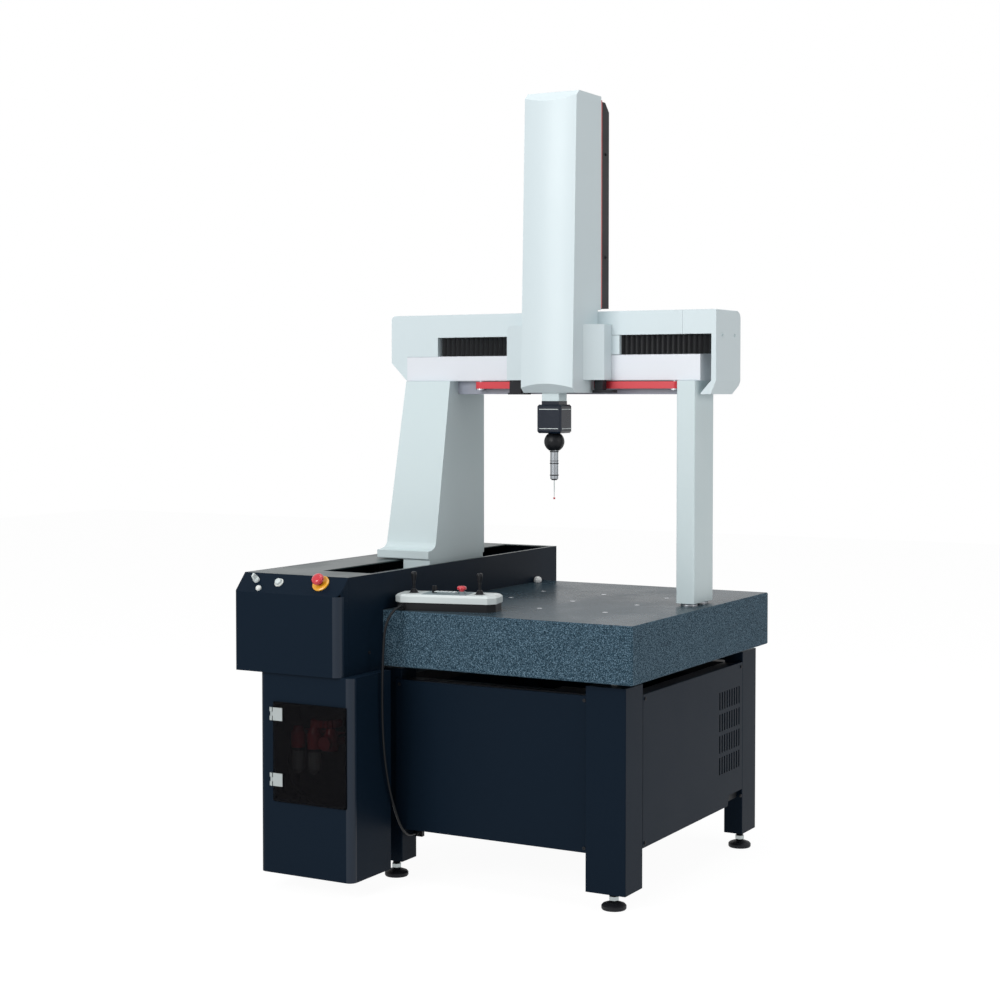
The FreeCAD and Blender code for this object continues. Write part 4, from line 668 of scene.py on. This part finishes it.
# ---------------------------------------------------------------- machine
@dataclass
class Machine:
    """What the sub-assemblies share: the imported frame, the shader groups and the ways to add a piece."""

    frame: dict[str, Any]
    effects: Effects = field(default_factory=Effects)

    def dress_frame(self) -> None:
        """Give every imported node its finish."""
        for finish, nodes in DRESSING.items():
            for name in nodes:
                mesh = self.frame["nodes"][name].data
                mesh.materials.clear()
                mesh.materials.append(finish.material(self.effects))

    def solids(self, node: str) -> list[tuple[Vector, Vector]]:
        """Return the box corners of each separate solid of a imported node, from left to right."""
        shape = bmesh.new()
        shape.from_mesh(self.frame["nodes"][node].data)
        bmesh.ops.remove_doubles(shape, verts=shape.verts[:], dist=1e-6)
        left, boxes = set(shape.verts), []
        while left:
            reached = [left.pop()]
            members = []
            while reached:
                vertex = reached.pop()
                members.append(vertex.co.copy())
                for edge in vertex.link_edges:
                    other = edge.other_vert(vertex)
                    if other in left:
                        left.remove(other)
                        reached.append(other)
            corners = [[pick(co[axis] for co in members) for axis in range(3)] for pick in (min, max)]
            boxes.append((Vector(corners[0]), Vector(corners[1])))
        shape.free()
        return sorted(boxes, key=lambda box: (round(box[0].x, 4), round(box[0].y, 4), round(box[0].z, 4)))

    def piece(
        self, name: str, shape: Any, finish: Finish, body: str, place: Matrix | None = None,
        stands_for: Sequence[str] = (), blend: tuple[str, Point, Point] | None = None,
    ) -> bpy.types.Object:
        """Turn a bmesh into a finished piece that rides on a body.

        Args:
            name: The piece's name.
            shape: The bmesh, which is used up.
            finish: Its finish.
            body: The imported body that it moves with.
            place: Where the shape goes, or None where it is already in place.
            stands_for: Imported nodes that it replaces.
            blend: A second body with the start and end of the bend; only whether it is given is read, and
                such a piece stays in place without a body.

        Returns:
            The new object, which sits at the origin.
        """
        if place is not None:
            bmesh.ops.transform(shape, matrix=place, verts=shape.verts[:])
        bmesh.ops.recalc_face_normals(shape, faces=shape.faces[:])
        mesh = bpy.data.meshes.new(name)
        shape.to_mesh(mesh)
        shape.free()
        return self.add_mesh(name, mesh, finish, body, stands_for, blend)

    def add_mesh(
        self, name: str, mesh: bpy.types.Mesh, finish: Finish, body: str,
        stands_for: Sequence[str] = (), blend: tuple[str, Point, Point] | None = None,
    ) -> bpy.types.Object:
        """Link a mesh that is already in place, and tie it to its body."""
        mesh.materials.clear()
        mesh.materials.append(finish.material(self.effects))
        mesh.polygons.foreach_set("use_smooth", [True] * len(mesh.polygons))
        mesh.set_sharp_from_angle(angle=math.radians(35))
        made = bpy.data.objects.new(name, mesh)
        bpy.context.scene.collection.objects.link(made)
        if blend:
            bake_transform(made)
        else:
            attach(made, body)
        if stands_for:
            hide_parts(*stands_for)
        return made


# ---------------------------------------------------------------- small hardware
@dataclass
class Fasteners:
    """Socket screws and threaded inserts, set in rows by one Geometry Nodes tree."""

    screw_radius: float = 0.0045
    screw_height: float = 0.0024
    insert_radius: float = 0.0075
    insert_bore: float = 0.0034
    insert_rise: float = 0.0005
    first_insert: tuple[float, float] = (-0.06, -0.16)
    insert_pitch: float = 0.2
    inset: float = 0.012

    def build(self, machine: Machine) -> None:
        """Set every row of screws, one piece for each body and slot."""
        self.tree = self._tree()
        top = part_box("granite_table")[1].z
        left, front = self.first_insert
        grid = [
            ((left + self.insert_pitch * i, front + self.insert_pitch * j, top), (0, 0, 1))
            for i in range(3) for j in range(3)
        ]
        self._set(machine, "insert_rings", grid, self.insert_radius, self.insert_rise, self.insert_bore, 24,
                  STEEL, "base")
        base = self._corners("front_panel", 1, -1) + self._corners("right_panel", 0, 1)
        base += self._corners("rear_panels", 1, 1)
        base += self._along("housing_right_cover", 0, 1, 6, 0.2) + self._corners("housing_rear_cover", 1, 1)
        self._screws(machine, "stand_and_housing_screws", base, "base", DARK_PAINT)
        bridge = self._along("right_end_cover", 0, 1, 2, 0.7) + self._along("beam_top_cover", 1, 1, 6, 0.6)
        bridge += self._along("left_leg_base", 1, -1, 2, 0.5)
        self._screws(machine, "bridge_screws", bridge, "bridge", CASTING)
        column = self._along("z_rear_cover", 0, 1, 2, 0.5, 2) + self._along("z_rear_cover", 0, -1, 2, 0.5, 2)
        self._screws(machine, "column_screws", column, "carriage", DARK_PAINT)

    def _screws(
        self, machine: Machine, name: str, places: list[Any], body: str, finish: Finish
    ) -> None:
        """Set socket screws of the usual size."""
        bore = self.screw_radius * 0.5
        self._set(machine, name, places, self.screw_radius, self.screw_height, bore, 6, finish, body)

    def _corners(self, node: str, axis: int, side: int) -> list[Any]:
        """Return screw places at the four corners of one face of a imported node."""
        low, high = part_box(node)
        first, second = [n for n in range(3) if n != axis]
        spots = [
            {first: u, second: v}
            for u in (low[first] + self.inset, high[first] - self.inset)
            for v in (low[second] + self.inset, high[second] - self.inset)
        ]
        return self._on_face(node, axis, side, spots)

    def _along(
        self, node: str, axis: int, side: int, count: int, level: float, run: int | None = None
    ) -> list[Any]:
        """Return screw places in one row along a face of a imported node, at a share of its other extent."""
        low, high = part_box(node)
        others = [n for n in range(3) if n != axis]
        run = others[0] if run is None else run
        across = next(n for n in others if n != run)
        spots = [
            {
                run: low[run] + (high[run] - low[run]) * (index + 0.5) / count,
                across: low[across] + (high[across] - low[across]) * level,
            }
            for index in range(count)
        ]
        return self._on_face(node, axis, side, spots)

    @staticmethod
    def _on_face(node: str, axis: int, side: int, spots: list[dict[int, float]]) -> list[Any]:
        """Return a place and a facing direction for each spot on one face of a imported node."""
        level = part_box(node)[1 if side > 0 else 0][axis]
        facing = [side if n == axis else 0 for n in range(3)]
        return [([level if n == axis else spot[n] for n in range(3)], facing) for spot in spots]

    @staticmethod
    def _tree() -> bpy.types.NodeTree:
        """Build the tree: a bored head on every point, turned to face along the point's own direction."""
        tree = bpy.data.node_groups.new("RowOfHeads", "GeometryNodeTree")
        face = tree.interface
        face.new_socket("Points", in_out="INPUT", socket_type="NodeSocketGeometry")
        for label, value in (("Radius", 0.0045), ("Height", 0.0024), ("Bore", 0.0022)):
            face.new_socket(label, in_out="INPUT", socket_type="NodeSocketFloat").default_value = value
        face.new_socket("Bore Sides", in_out="INPUT", socket_type="NodeSocketInt").default_value = 6
        face.new_socket("Finish", in_out="INPUT", socket_type="NodeSocketMaterial")
        face.new_socket("Heads", in_out="OUTPUT", socket_type="NodeSocketGeometry")
        graph = Graph(tree)
        into, out = graph.add("NodeGroupInput"), graph.add("NodeGroupOutput")
        radius, height = into.outputs["Radius"], into.outputs["Height"]
        full = graph.math("MULTIPLY", height, 2.0)
        head = graph.add("GeometryNodeMeshCylinder", {"Vertices": 24, "Radius": radius, "Depth": full})
        bore = graph.add(
            "GeometryNodeMeshCylinder",
            {"Vertices": into.outputs["Bore Sides"], "Radius": into.outputs["Bore"], "Depth": height},
        )
        lift = graph.add("CombineXYZ", {"Z": height})
        inputs = {"Geometry": bore.outputs["Mesh"], "Translation": lift.outputs[0]}
        raised = graph.add("GeometryNodeTransform", inputs)
        bored = graph.add("GeometryNodeMeshBoolean", operation="DIFFERENCE")
        graph.put(bored.inputs[0], head.outputs["Mesh"])
        graph.put(bored.inputs[1], raised.outputs[0])
        facing = graph.add("GeometryNodeInputNamedAttribute", {"Name": "facing"}, data_type="FLOAT_VECTOR")
        turn = graph.add("FunctionNodeAlignRotationToVector", {"Vector": facing.outputs[0]}, axis="Z")
        rows = graph.add(
            "GeometryNodeInstanceOnPoints",
            {"Points": into.outputs["Points"], "Instance": bored.outputs[0], "Rotation": turn.outputs[0]},
        )
        real = graph.add("GeometryNodeRealizeInstances", {0: rows.outputs[0]})
        inputs = {"Geometry": real.outputs[0], "Material": into.outputs["Finish"]}
        dressed = graph.add("GeometryNodeSetMaterial", inputs)
        graph.put(out.inputs["Heads"], dressed.outputs[0])
        return tree

    def _set(
        self, machine: Machine, name: str, places: list[Any], radius: float, height: float, bore: float,
        sides: int, finish: Finish, body: str,
    ) -> None:
        """Run the tree over a set of points and keep the result as one plain mesh."""
        cloud = bpy.data.meshes.new(name + "_points")
        cloud.from_pydata([tuple(place) for place, _ in places], [], [])
        facing = cloud.attributes.new("facing", "FLOAT_VECTOR", "POINT")
        facing.data.foreach_set("vector", [float(n) for _, way in places for n in way])
        carrier = bpy.data.objects.new(name + "_points", cloud)
        bpy.context.scene.collection.objects.link(carrier)
        modifier = carrier.modifiers.new("heads", "NODES")
        modifier.node_group = self.tree
        values = {"Radius": radius, "Height": height, "Bore": bore, "Bore Sides": sides,
                  "Finish": finish.material(machine.effects)}
        for item in self.tree.interface.items_tree:
            if item.in_out == "INPUT" and item.name in values:
                modifier[item.identifier] = values[item.name]
        carrier.update_tag()
        view = bpy.context.evaluated_depsgraph_get()
        mesh = bpy.data.meshes.new_from_object(carrier.evaluated_get(view))
        bpy.data.objects.remove(carrier)
        mesh.name = name
        machine.add_mesh(name, mesh, finish, body)


@dataclass
class Stand:
    """The levelling feet and their lock nuts; the jacks under the granite keep their imported form."""

    pitch: float = 0.003
    nut_radius: float = 0.014
    nut_height: float = 0.010
    nut_level: float = 0.024

    def build(self, machine: Machine) -> None:
        """Replace the plain feet with dished discs on threaded stems."""
        for number, (low, high) in enumerate(machine.solids("levelling_feet")):
            radius, height = (high.x - low.x) / 2, high.z - low.z
            stem = radius * 0.32
            profile = [(0.0, 0.0), (radius * 0.94, 0.0), (radius, 0.003), (radius, 0.010)]
            profile += [(radius * 0.9, 0.014), (radius * 0.5, 0.019), (stem * 1.25, 0.020)]
            profile += threaded(stem, 0.021, height - 0.0005, self.pitch) + [(0.0, height)]
            place = over(low, high, low.z)
            stands_for = ("levelling_feet",) if number == 0 else ()
            machine.piece(f"threaded_foot_{number + 1}", turned(profile, 40), DARK_PAINT, "base",
                          place, stands_for)
            wide, tall = self.nut_radius, self.nut_height
            nut = turned([(0.0, 0.0), (wide, 0.0), (wide, tall), (0.0, tall)], 6)
            machine.piece(f"lock_nut_{number + 1}", nut, ZINC, "base",
                          place @ Matrix.Translation((0.0, 0.0, self.nut_level)))


@dataclass
class BentCorners:
    """The bent sheet corners at the right front of the housing and of the air cabinet, in a lighter navy that
    is a painted highlight.
    """

    housing_bend: float = 0.022
    cabinet_bend: float = 0.020
    slope_foot: float = 0.807
    thick: float = 0.0012
    proud: float = 0.0002
    steps: int = 14

    def build(self, machine: Machine) -> None:
        """Lay a quarter-round strip over each fold."""
        low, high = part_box("housing_front_cover")
        self._strip(machine, "housing_corner_bend", (high.x, low.y), (low.z, self.slope_foot),
                    self.housing_bend)
        low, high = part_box("cabinet_shell")
        self._strip(machine, "cabinet_corner_bend", (high.x, low.y), (low.z, high.z), self.cabinet_bend)

    def _strip(
        self, machine: Machine, name: str, corner: tuple[float, float], levels: tuple[float, float],
        bend: float,
    ) -> None:
        """Make one strip.

        Args:
            machine: The shared parts.
            name: The piece's name.
            corner: X and Y of the two sheets' outer faces.
            levels: Lowest and highest point.
            bend: Outer radius of the fold.
        """
        shape = bmesh.new()
        rows = []
        margin = 0.0005
        for step in range(self.steps + 1):
            angle = math.pi / 2 * step / self.steps
            row = []
            for radius, ends in ((bend + self.proud, (0, 1)), (bend - self.thick, (1, 0))):
                x = corner[0] - bend + radius * math.sin(angle)
                y = corner[1] + bend - radius * math.cos(angle)
                heights = (levels[0] + margin, levels[1] - margin)
                row += [shape.verts.new((x, y, heights[end])) for end in ends]
            rows.append(row)
        skin(shape, rows)
        # The strip's lighter navy is a painted highlight along the fold.
        machine.piece(name, shape, BENT_EDGE_HIGHLIGHT, "base")


@dataclass
class Bellows:
    """The two pleated way covers, which fold between the beam cover's ends and the saddle."""

    pleat: float = 0.016
    cloth: float = 0.0008
    left_reach: tuple[float, float] = (-0.338, -0.05)
    right_reach: tuple[float, float] = (0.20, 0.534)
    left_bend: tuple[float, float] = (-0.36, -0.01)
    right_bend: tuple[float, float] = (0.56, 0.15)

    def build(self, machine: Machine) -> None:
        """Make both way covers, which stay in place without a body."""
        covers = (("left", self.left_reach, self.left_bend), ("right", self.right_reach, self.right_bend))
        for side, reach, bend in covers:
            low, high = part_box(f"{side}_bellows")
            ends = [(x, (low.y + high.y) / 2, (low.z + high.z) / 2) for x in bend]
            machine.piece(
                f"{side}_pleated_cover", self._pleats(reach, low, high), BELLOWS, "bridge",
                stands_for=(f"{side}_bellows",), blend=("carriage", ends[0], ends[1]),
            )

    def _pleats(self, reach: tuple[float, float], low: Vector, high: Vector) -> Any:
        """Return a sheet folded to and fro, with its folds standing upright."""
        count = round((reach[1] - reach[0]) / self.pleat) * 2
        shape = bmesh.new()
        rows = []
        for index in range(count + 1):
            x = reach[0] + (reach[1] - reach[0]) * index / count
            y = low.y + 0.001 if index % 2 else high.y - 0.002
            rows.append([
                shape.verts.new((x, y + back, z))
                for back, z in ((0.0, low.z), (0.0, high.z), (self.cloth, high.z), (self.cloth, low.z))
            ])
        skin(shape, rows)
        return shape


@dataclass
class Pendant:
    """The joysticks' pleated boots and grips, the keys, the dial and the stop on the hand pendant."""

    origin: Point = (-0.186, -0.392, 0.753)
    turn: float = 14.0
    sticks: tuple[tuple[str, float], ...] = (("left", 0.042), ("right", 0.229))
    middle: float = 0.0525
    pivot: float = 0.793
    boot_base: float = 0.0148
    boot_pleats: int = 5
    boot_fit: float = 0.97
    dial_at: float = 0.10095
    stop_at: float = 0.17835
    key: tuple[float, float] = (0.009, 0.0062)
    first_key: tuple[float, float] = (0.115, -0.031)
    key_pitch: tuple[float, float] = (0.0125, 0.013)

    def at(self, u: float, v: float, z: float = 0.0) -> Matrix:
        """Return the matrix of a place on the pendant, from its front left corner, at a room height."""
        turn = Matrix.Rotation(math.radians(self.turn), 4, "Z")
        flat = turn @ Vector((u, v, 0.0))
        return Matrix.Translation((self.origin[0] + flat.x, self.origin[1] + flat.y, z)) @ turn

    def build(self, machine: Machine) -> None:
        """Make every control on the pendant."""
        for side, u in self.sticks:
            self._boot(machine, side, u)
            self._grip(machine, side, u)
        self._dial(machine)
        self._stop(machine)
        self._keys(machine)

    def _boot(self, machine: Machine, side: str, u: float) -> None:
        """A rubber boot with round pleats that narrow towards the stick."""
        low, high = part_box(f"{side}_joystick_boot")
        dome = min((high.x - low.x) / 2, self.boot_base)
        foot, rise = max(low.z - self.pivot, -0.85 * dome), high.z - self.pivot
        profile = [(0.0, foot)]
        for step in range(4):
            level = foot * (1.0 - step / 4)
            profile.append((math.sqrt(max(dome**2 - level**2, 0.0)) * self.boot_fit, level))
        for pleat in range(self.boot_pleats):
            for step, swell in ((0.1, 1.0), (0.5, 1.0), (0.9, 0.86)):
                share = (pleat + step) / self.boot_pleats
                inside = math.sqrt(max(dome**2 - (rise * share) ** 2, (0.5 * dome) ** 2)) * self.boot_fit
                profile.append((min(dome * (1.0 - 0.55 * share), inside) * swell, rise * share))
        profile.append((0.0, rise))
        machine.piece(f"{side}_pleated_boot", turned(profile), CABLE, f"{side}_stick_gimbal",
                      self.at(u, self.middle, self.pivot), (f"{side}_joystick_boot",))

    def _grip(self, machine: Machine, side: str, u: float) -> None:
        """A waisted grip with a ringed shank and a domed cap."""
        low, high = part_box(f"{side}_joystick")
        tall, wide = high.z - low.z, (high.x - low.x) / 2
        shares = ((0.0, 0.0), (0.5, 0.0), (0.5, 0.3), (0.62, 0.34), (0.62, 0.38), (0.55, 0.4), (0.72, 0.52),
                  (0.92, 0.72), (1.0, 0.84), (0.97, 0.92), (0.8, 0.97), (0.45, 0.995), (0.0, 1.0))
        profile = [(wide * r, tall * h) for r, h in shares]
        machine.piece(f"{side}_stick_grip", turned(profile), BLACK, f"{side}_stick",
                      self.at(u, self.middle, low.z), (f"{side}_joystick",))

    def _dial(self, machine: Machine) -> None:
        """A fluted speed dial with a raised rim."""
        low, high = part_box("pendant_knob")
        tall, wide = high.z - low.z, min(high.x - low.x, high.y - low.y) / 2
        profile = [(0.0, 0.0), (wide, 0.0), (wide, tall * 0.75), (wide * 0.9, tall), (wide * 0.55, tall)]
        profile += [(wide * 0.5, tall * 0.9), (0.0, tall * 0.9)]
        machine.piece("fluted_dial", turned(profile, 96, 16, 0.14), BLACK, "pendant_dial",
                      self.at(self.dial_at, self.middle, low.z), ("pendant_knob",))

    def _stop(self, machine: Machine) -> None:
        """The red mushroom stop."""
        low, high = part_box("pendant_estop")
        machine.piece("pendant_mushroom", mushroom((high.x - low.x) / 2, high.z - low.z), RED, "pendant_stop",
                      self.at(self.stop_at, self.middle, low.z), ("pendant_estop",))

    def _keys(self, machine: Machine) -> None:
        """Two rows of soft keys with a lamp over each."""
        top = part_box("pendant_keypad")[1].z
        columns, rows = 5, 2
        shape = bmesh.new()
        lamps = bmesh.new()
        for column in range(columns):
            for row in range(rows):
                u = self.first_key[0] + self.key_pitch[0] * column
                v = self.middle + self.first_key[1] + self.key_pitch[1] * row
                half = (self.key[0] / 2, self.key[1] / 2)
                key = slab((u - half[0], v - half[1], -0.0003), (u + half[0], v + half[1], 0.0012), 0.0005)
                absorb(shape, key)
                lamp = slab((u - 0.0012, v + 0.0042, -0.0003), (u + 0.0012, v + 0.0056, 0.0007), 0.0003)
                absorb(lamps, lamp)
        place = self.at(0.0, 0.0, top)
        machine.piece("pendant_keys", shape, PALE, "base", place)
        machine.piece("pendant_lamps", lamps, RED, "base", place)


@dataclass
class Console:
    """The start key, the selector and the stop on the sloped face."""

    front: float = -0.615
    low: float = 0.807
    run: float = 0.044
    drop: float = 0.048
    stop: tuple[float, float] = (-0.288, 0.62)
    start: tuple[float, float] = (-0.422, 0.55)
    selector: tuple[float, float] = (-0.497, 0.60)
    stop_radius: float = 0.0168
    stop_height: float = 0.0215
    stop_bore: float = 0.0078
    stop_lift: float = 0.0085
    start_lift: float = 0.004

    def _spot(self, place: tuple[float, float], lift: float = 0.0) -> Matrix:
        """Return the matrix of a place on the slope, with Z out of it."""
        angle = math.atan2(self.drop, self.run)
        facing = Vector((0.0, -math.sin(angle), math.cos(angle)))
        x, share = place
        foot = Vector((x, self.front + self.run * share, self.low + self.drop * share))
        return standing(foot + facing * lift, facing)

    def build(self, machine: Machine) -> None:
        """Make the three controls."""
        button = mushroom(self.stop_radius, self.stop_height, self.stop_bore)
        machine.piece("console_mushroom", button, RED, "emergency_stop",
                      self._spot(self.stop, self.stop_lift), ("estop_button",))
        key = turned([(0.0, 0.0), (0.0088, 0.0), (0.0088, 0.0045), (0.0082, 0.0055), (0.0068, 0.0058),
                      (0.0062, 0.0048), (0.0, 0.0046)])
        machine.piece("start_key_cap", key, PALE, "start_key",
                      self._spot(self.start, self.start_lift), ("start_button",))
        lever = slab((-0.0035, -0.0088, 0.004), (0.0035, 0.0088, 0.026), 0.0014, 0.7)
        collar = [(0.0, 0.001), (0.0088, 0.001), (0.0088, 0.0075), (0.0078, 0.009), (0.0, 0.009)]
        absorb(lever, turned(collar))
        machine.piece("selector_lever", lever, PALE, "mode_switch", self._spot(self.selector),
                      ("mode_knob",))


@dataclass
class AirUnit:
    """The regulators behind the window: ribbed caps, and a ring round each bowl as its guard."""

    flutes: int = 20

    def build(self, machine: Machine) -> None:
        """Put a cap on each regulator and a ring on each bowl."""
        for number, (low, high) in enumerate(machine.solids("air_filters")):
            radius = min(high.x - low.x, high.y - low.y) / 2 * 0.7
            place = over(low, high, high.z - 0.001)
            cap = turned([(0.0, 0.0), (radius, 0.0), (radius, 0.016), (radius * 0.86, 0.02), (0.0, 0.02)], 80,
                         self.flutes, 0.12)
            machine.piece(f"regulator_cap_{number + 1}", cap, RED, "base", place)
        for number, (low, high) in enumerate(machine.solids("filter_bowls")):
            radius = (high.x - low.x) / 2
            place = over(low, high, high.z - 0.008)
            wide = radius * 1.06
            ring = turned([(0.0, 0.0), (wide, 0.0), (wide, 0.0075), (0.0, 0.0075)], 48, 24, 0.05)
            machine.piece(f"bowl_ring_{number + 1}", ring, BLACK, "base", place)


@dataclass
class Probe:
    """The rings on the probe module, the stylus with its ruby tip, and the reference sphere."""

    centre: tuple[float, float] = (0.108, -0.012)
    ruby_radius: float = 0.003
    rings: tuple[tuple[float, float], ...] = ((0.1, 0.02), (0.36, 0.02), (0.42, 0.01), (0.62, 0.02))
    head_height: float = 0.08
    ball_radius: float = 0.0125

    def build(self, machine: Machine) -> None:
        """Make the turned pieces of the probe and the sphere."""
        low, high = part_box("probe_module")
        tall, wide = high.z - low.z, (high.x - low.x) / 2
        for number, (share, width) in enumerate(self.rings):
            foot, edge = tall * share, tall * width
            profile = [(0.0, foot), (wide * 0.98, foot), (wide * 1.03, foot + edge * 0.3),
                       (wide * 1.03, foot + edge * 0.7), (wide * 0.98, foot + edge), (0.0, foot + edge)]
            machine.piece(f"module_ring_{number + 1}", turned(profile), BLACK, "probe",
                          standing((*self.centre, low.z)))
        low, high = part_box("stylus")
        length = high.z - low.z
        tip = self.ruby_radius
        stem = [(0.0, tip), (0.0008, tip), (0.0011, 0.02), (0.0015, 0.03), (0.0015, length), (0.0, length)]
        machine.piece("stylus_stem", turned(stem, 24), ZINC, "probe", standing((*self.centre, low.z)),
                      ("stylus",))
        machine.piece("ruby_tip", sphere(self.ruby_radius), RED, "probe",
                      standing((*self.centre, low.z)))
        self._head_lines(machine)
        self._reference(machine)

    def _head_lines(self, machine: Machine) -> None:
        """Two pale rules across the front and the right side of the head."""
        low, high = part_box("probe_head")
        foot, crown = low.z, low.z + self.head_height
        inset, proud, sunk, edge = 0.008, 0.0003, 0.0005, 0.0002
        lines = bmesh.new()
        for level in (foot + 0.012, crown - 0.014):
            top = level + 0.0018
            front = ((low.x + inset, low.y - proud, level), (high.x - inset, low.y + sunk, top))
            side = ((high.x - sunk, low.y + inset, level), (high.x + proud, high.y - inset, top))
            for start, end in (front, side):
                absorb(lines, slab(start, end, edge))
        machine.piece("head_rules", lines, PALE, "ram")

    def _reference(self, machine: Machine) -> None:
        """A white ball on a waisted steel stem."""
        low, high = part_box("reference_sphere")
        tall, ball_radius = high.z - low.z, self.ball_radius
        foot = (high.x - low.x) / 2
        place = over(low, high, low.z)
        neck = tall - 2 * ball_radius
        profile = [(0.0, 0.0), (foot, 0.0), (foot, 0.006), (foot * 0.8, 0.009), (0.007, 0.012),
                   (0.0055, 0.5 * neck), (0.0035, neck), (0.003, neck + 0.003), (0.0, neck + 0.003)]
        machine.piece("sphere_stem", turned(profile), STEEL, "base", place, ("reference_sphere",))
        machine.piece("white_ball", sphere(ball_radius), WHITE_BALL, "base",
                      place @ Matrix.Translation((0.0, 0.0, neck)))


@dataclass
class Cords:
    """The pendant's cable and the cabinet's air hose."""

    cable_width: float = 0.007
    hose_width: float = 0.009
    cable: tuple[Point, ...] = (
        (-0.16054, -0.39494, 0.764), (-0.15473, -0.41822, 0.764), (-0.1555, -0.443, 0.756),
        (-0.160, -0.461, 0.736), (-0.164, -0.470, 0.708), (-0.167, -0.473, 0.655), (-0.169, -0.475, 0.565),
        (-0.169, -0.475, 0.472), (-0.169, -0.468, 0.388), (-0.169, -0.454, 0.318), (-0.170, -0.433, 0.258),
        (-0.172, -0.408, 0.212), (-0.174, -0.385, 0.174), (-0.176, -0.361, 0.145), (-0.1785, -0.337, 0.128),
        (-0.180, -0.313, 0.122), (-0.180, -0.289, 0.122),
    )
    hose: tuple[Point, ...] = (
        (-0.444, -0.440, 0.400), (-0.444, -0.468, 0.400), (-0.446, -0.494, 0.385), (-0.4485, -0.510, 0.3596),
        (-0.450, -0.5124, 0.3236), (-0.446, -0.508, 0.290), (-0.431, -0.503, 0.260), (-0.405, -0.500, 0.238),
        (-0.372, -0.502, 0.222), (-0.336, -0.500, 0.206), (-0.304, -0.496, 0.184), (-0.284, -0.489, 0.154),
        (-0.275, -0.481, 0.118), (-0.275, -0.481, 0.084),
    )

    def build(self, machine: Machine) -> None:
        self._lay(machine, "pendant_lead", "pendant_cable", self.cable, self.cable_width)
        self._lay(machine, "cabinet_air_hose", "air_hose", self.hose, self.hose_width)

    def _lay(
        self, machine: Machine, name: str, node: str, route: Sequence[Point], width: float
    ) -> None:
        """Make one cord as a smooth curve."""
        curve = bpy.data.curves.new(name, "CURVE")
        curve.dimensions = "3D"
        curve.bevel_depth = width / 2
        curve.bevel_resolution = 4
        curve.use_fill_caps = True
        spline = curve.splines.new("NURBS")
        spline.points.add(len(route) - 1)
        for point, place in zip(spline.points, route):
            point.co = (*place, 1.0)
        spline.order_u = 3
        spline.use_endpoint_u = True
        spline.resolution_u = 12
        curve.materials.append(CABLE.material(machine.effects))
        cord = bpy.data.objects.new(name, curve)
        bpy.context.scene.collection.objects.link(cord)
        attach(cord, "base")
        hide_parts(node)


def main() -> None:
    """Build the machine's looks and report each group of pieces."""
    logging.basicConfig(level=logging.INFO, format="%(name)s: %(message)s")
    bpy.ops.object.select_all(action="SELECT")
    bpy.ops.object.delete()
    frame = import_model()
    machine = Machine(frame)
    machine.dress_frame()
    Studio().build()
    parts = (
        Fasteners(), Stand(), BentCorners(), Bellows(), Pendant(), Console(), AirUnit(), Probe(), Cords(),
    )
    for part in parts:
        part.build(machine)
        log.info("built %s", type(part).__name__)


if __name__ == "__main__":
    main()
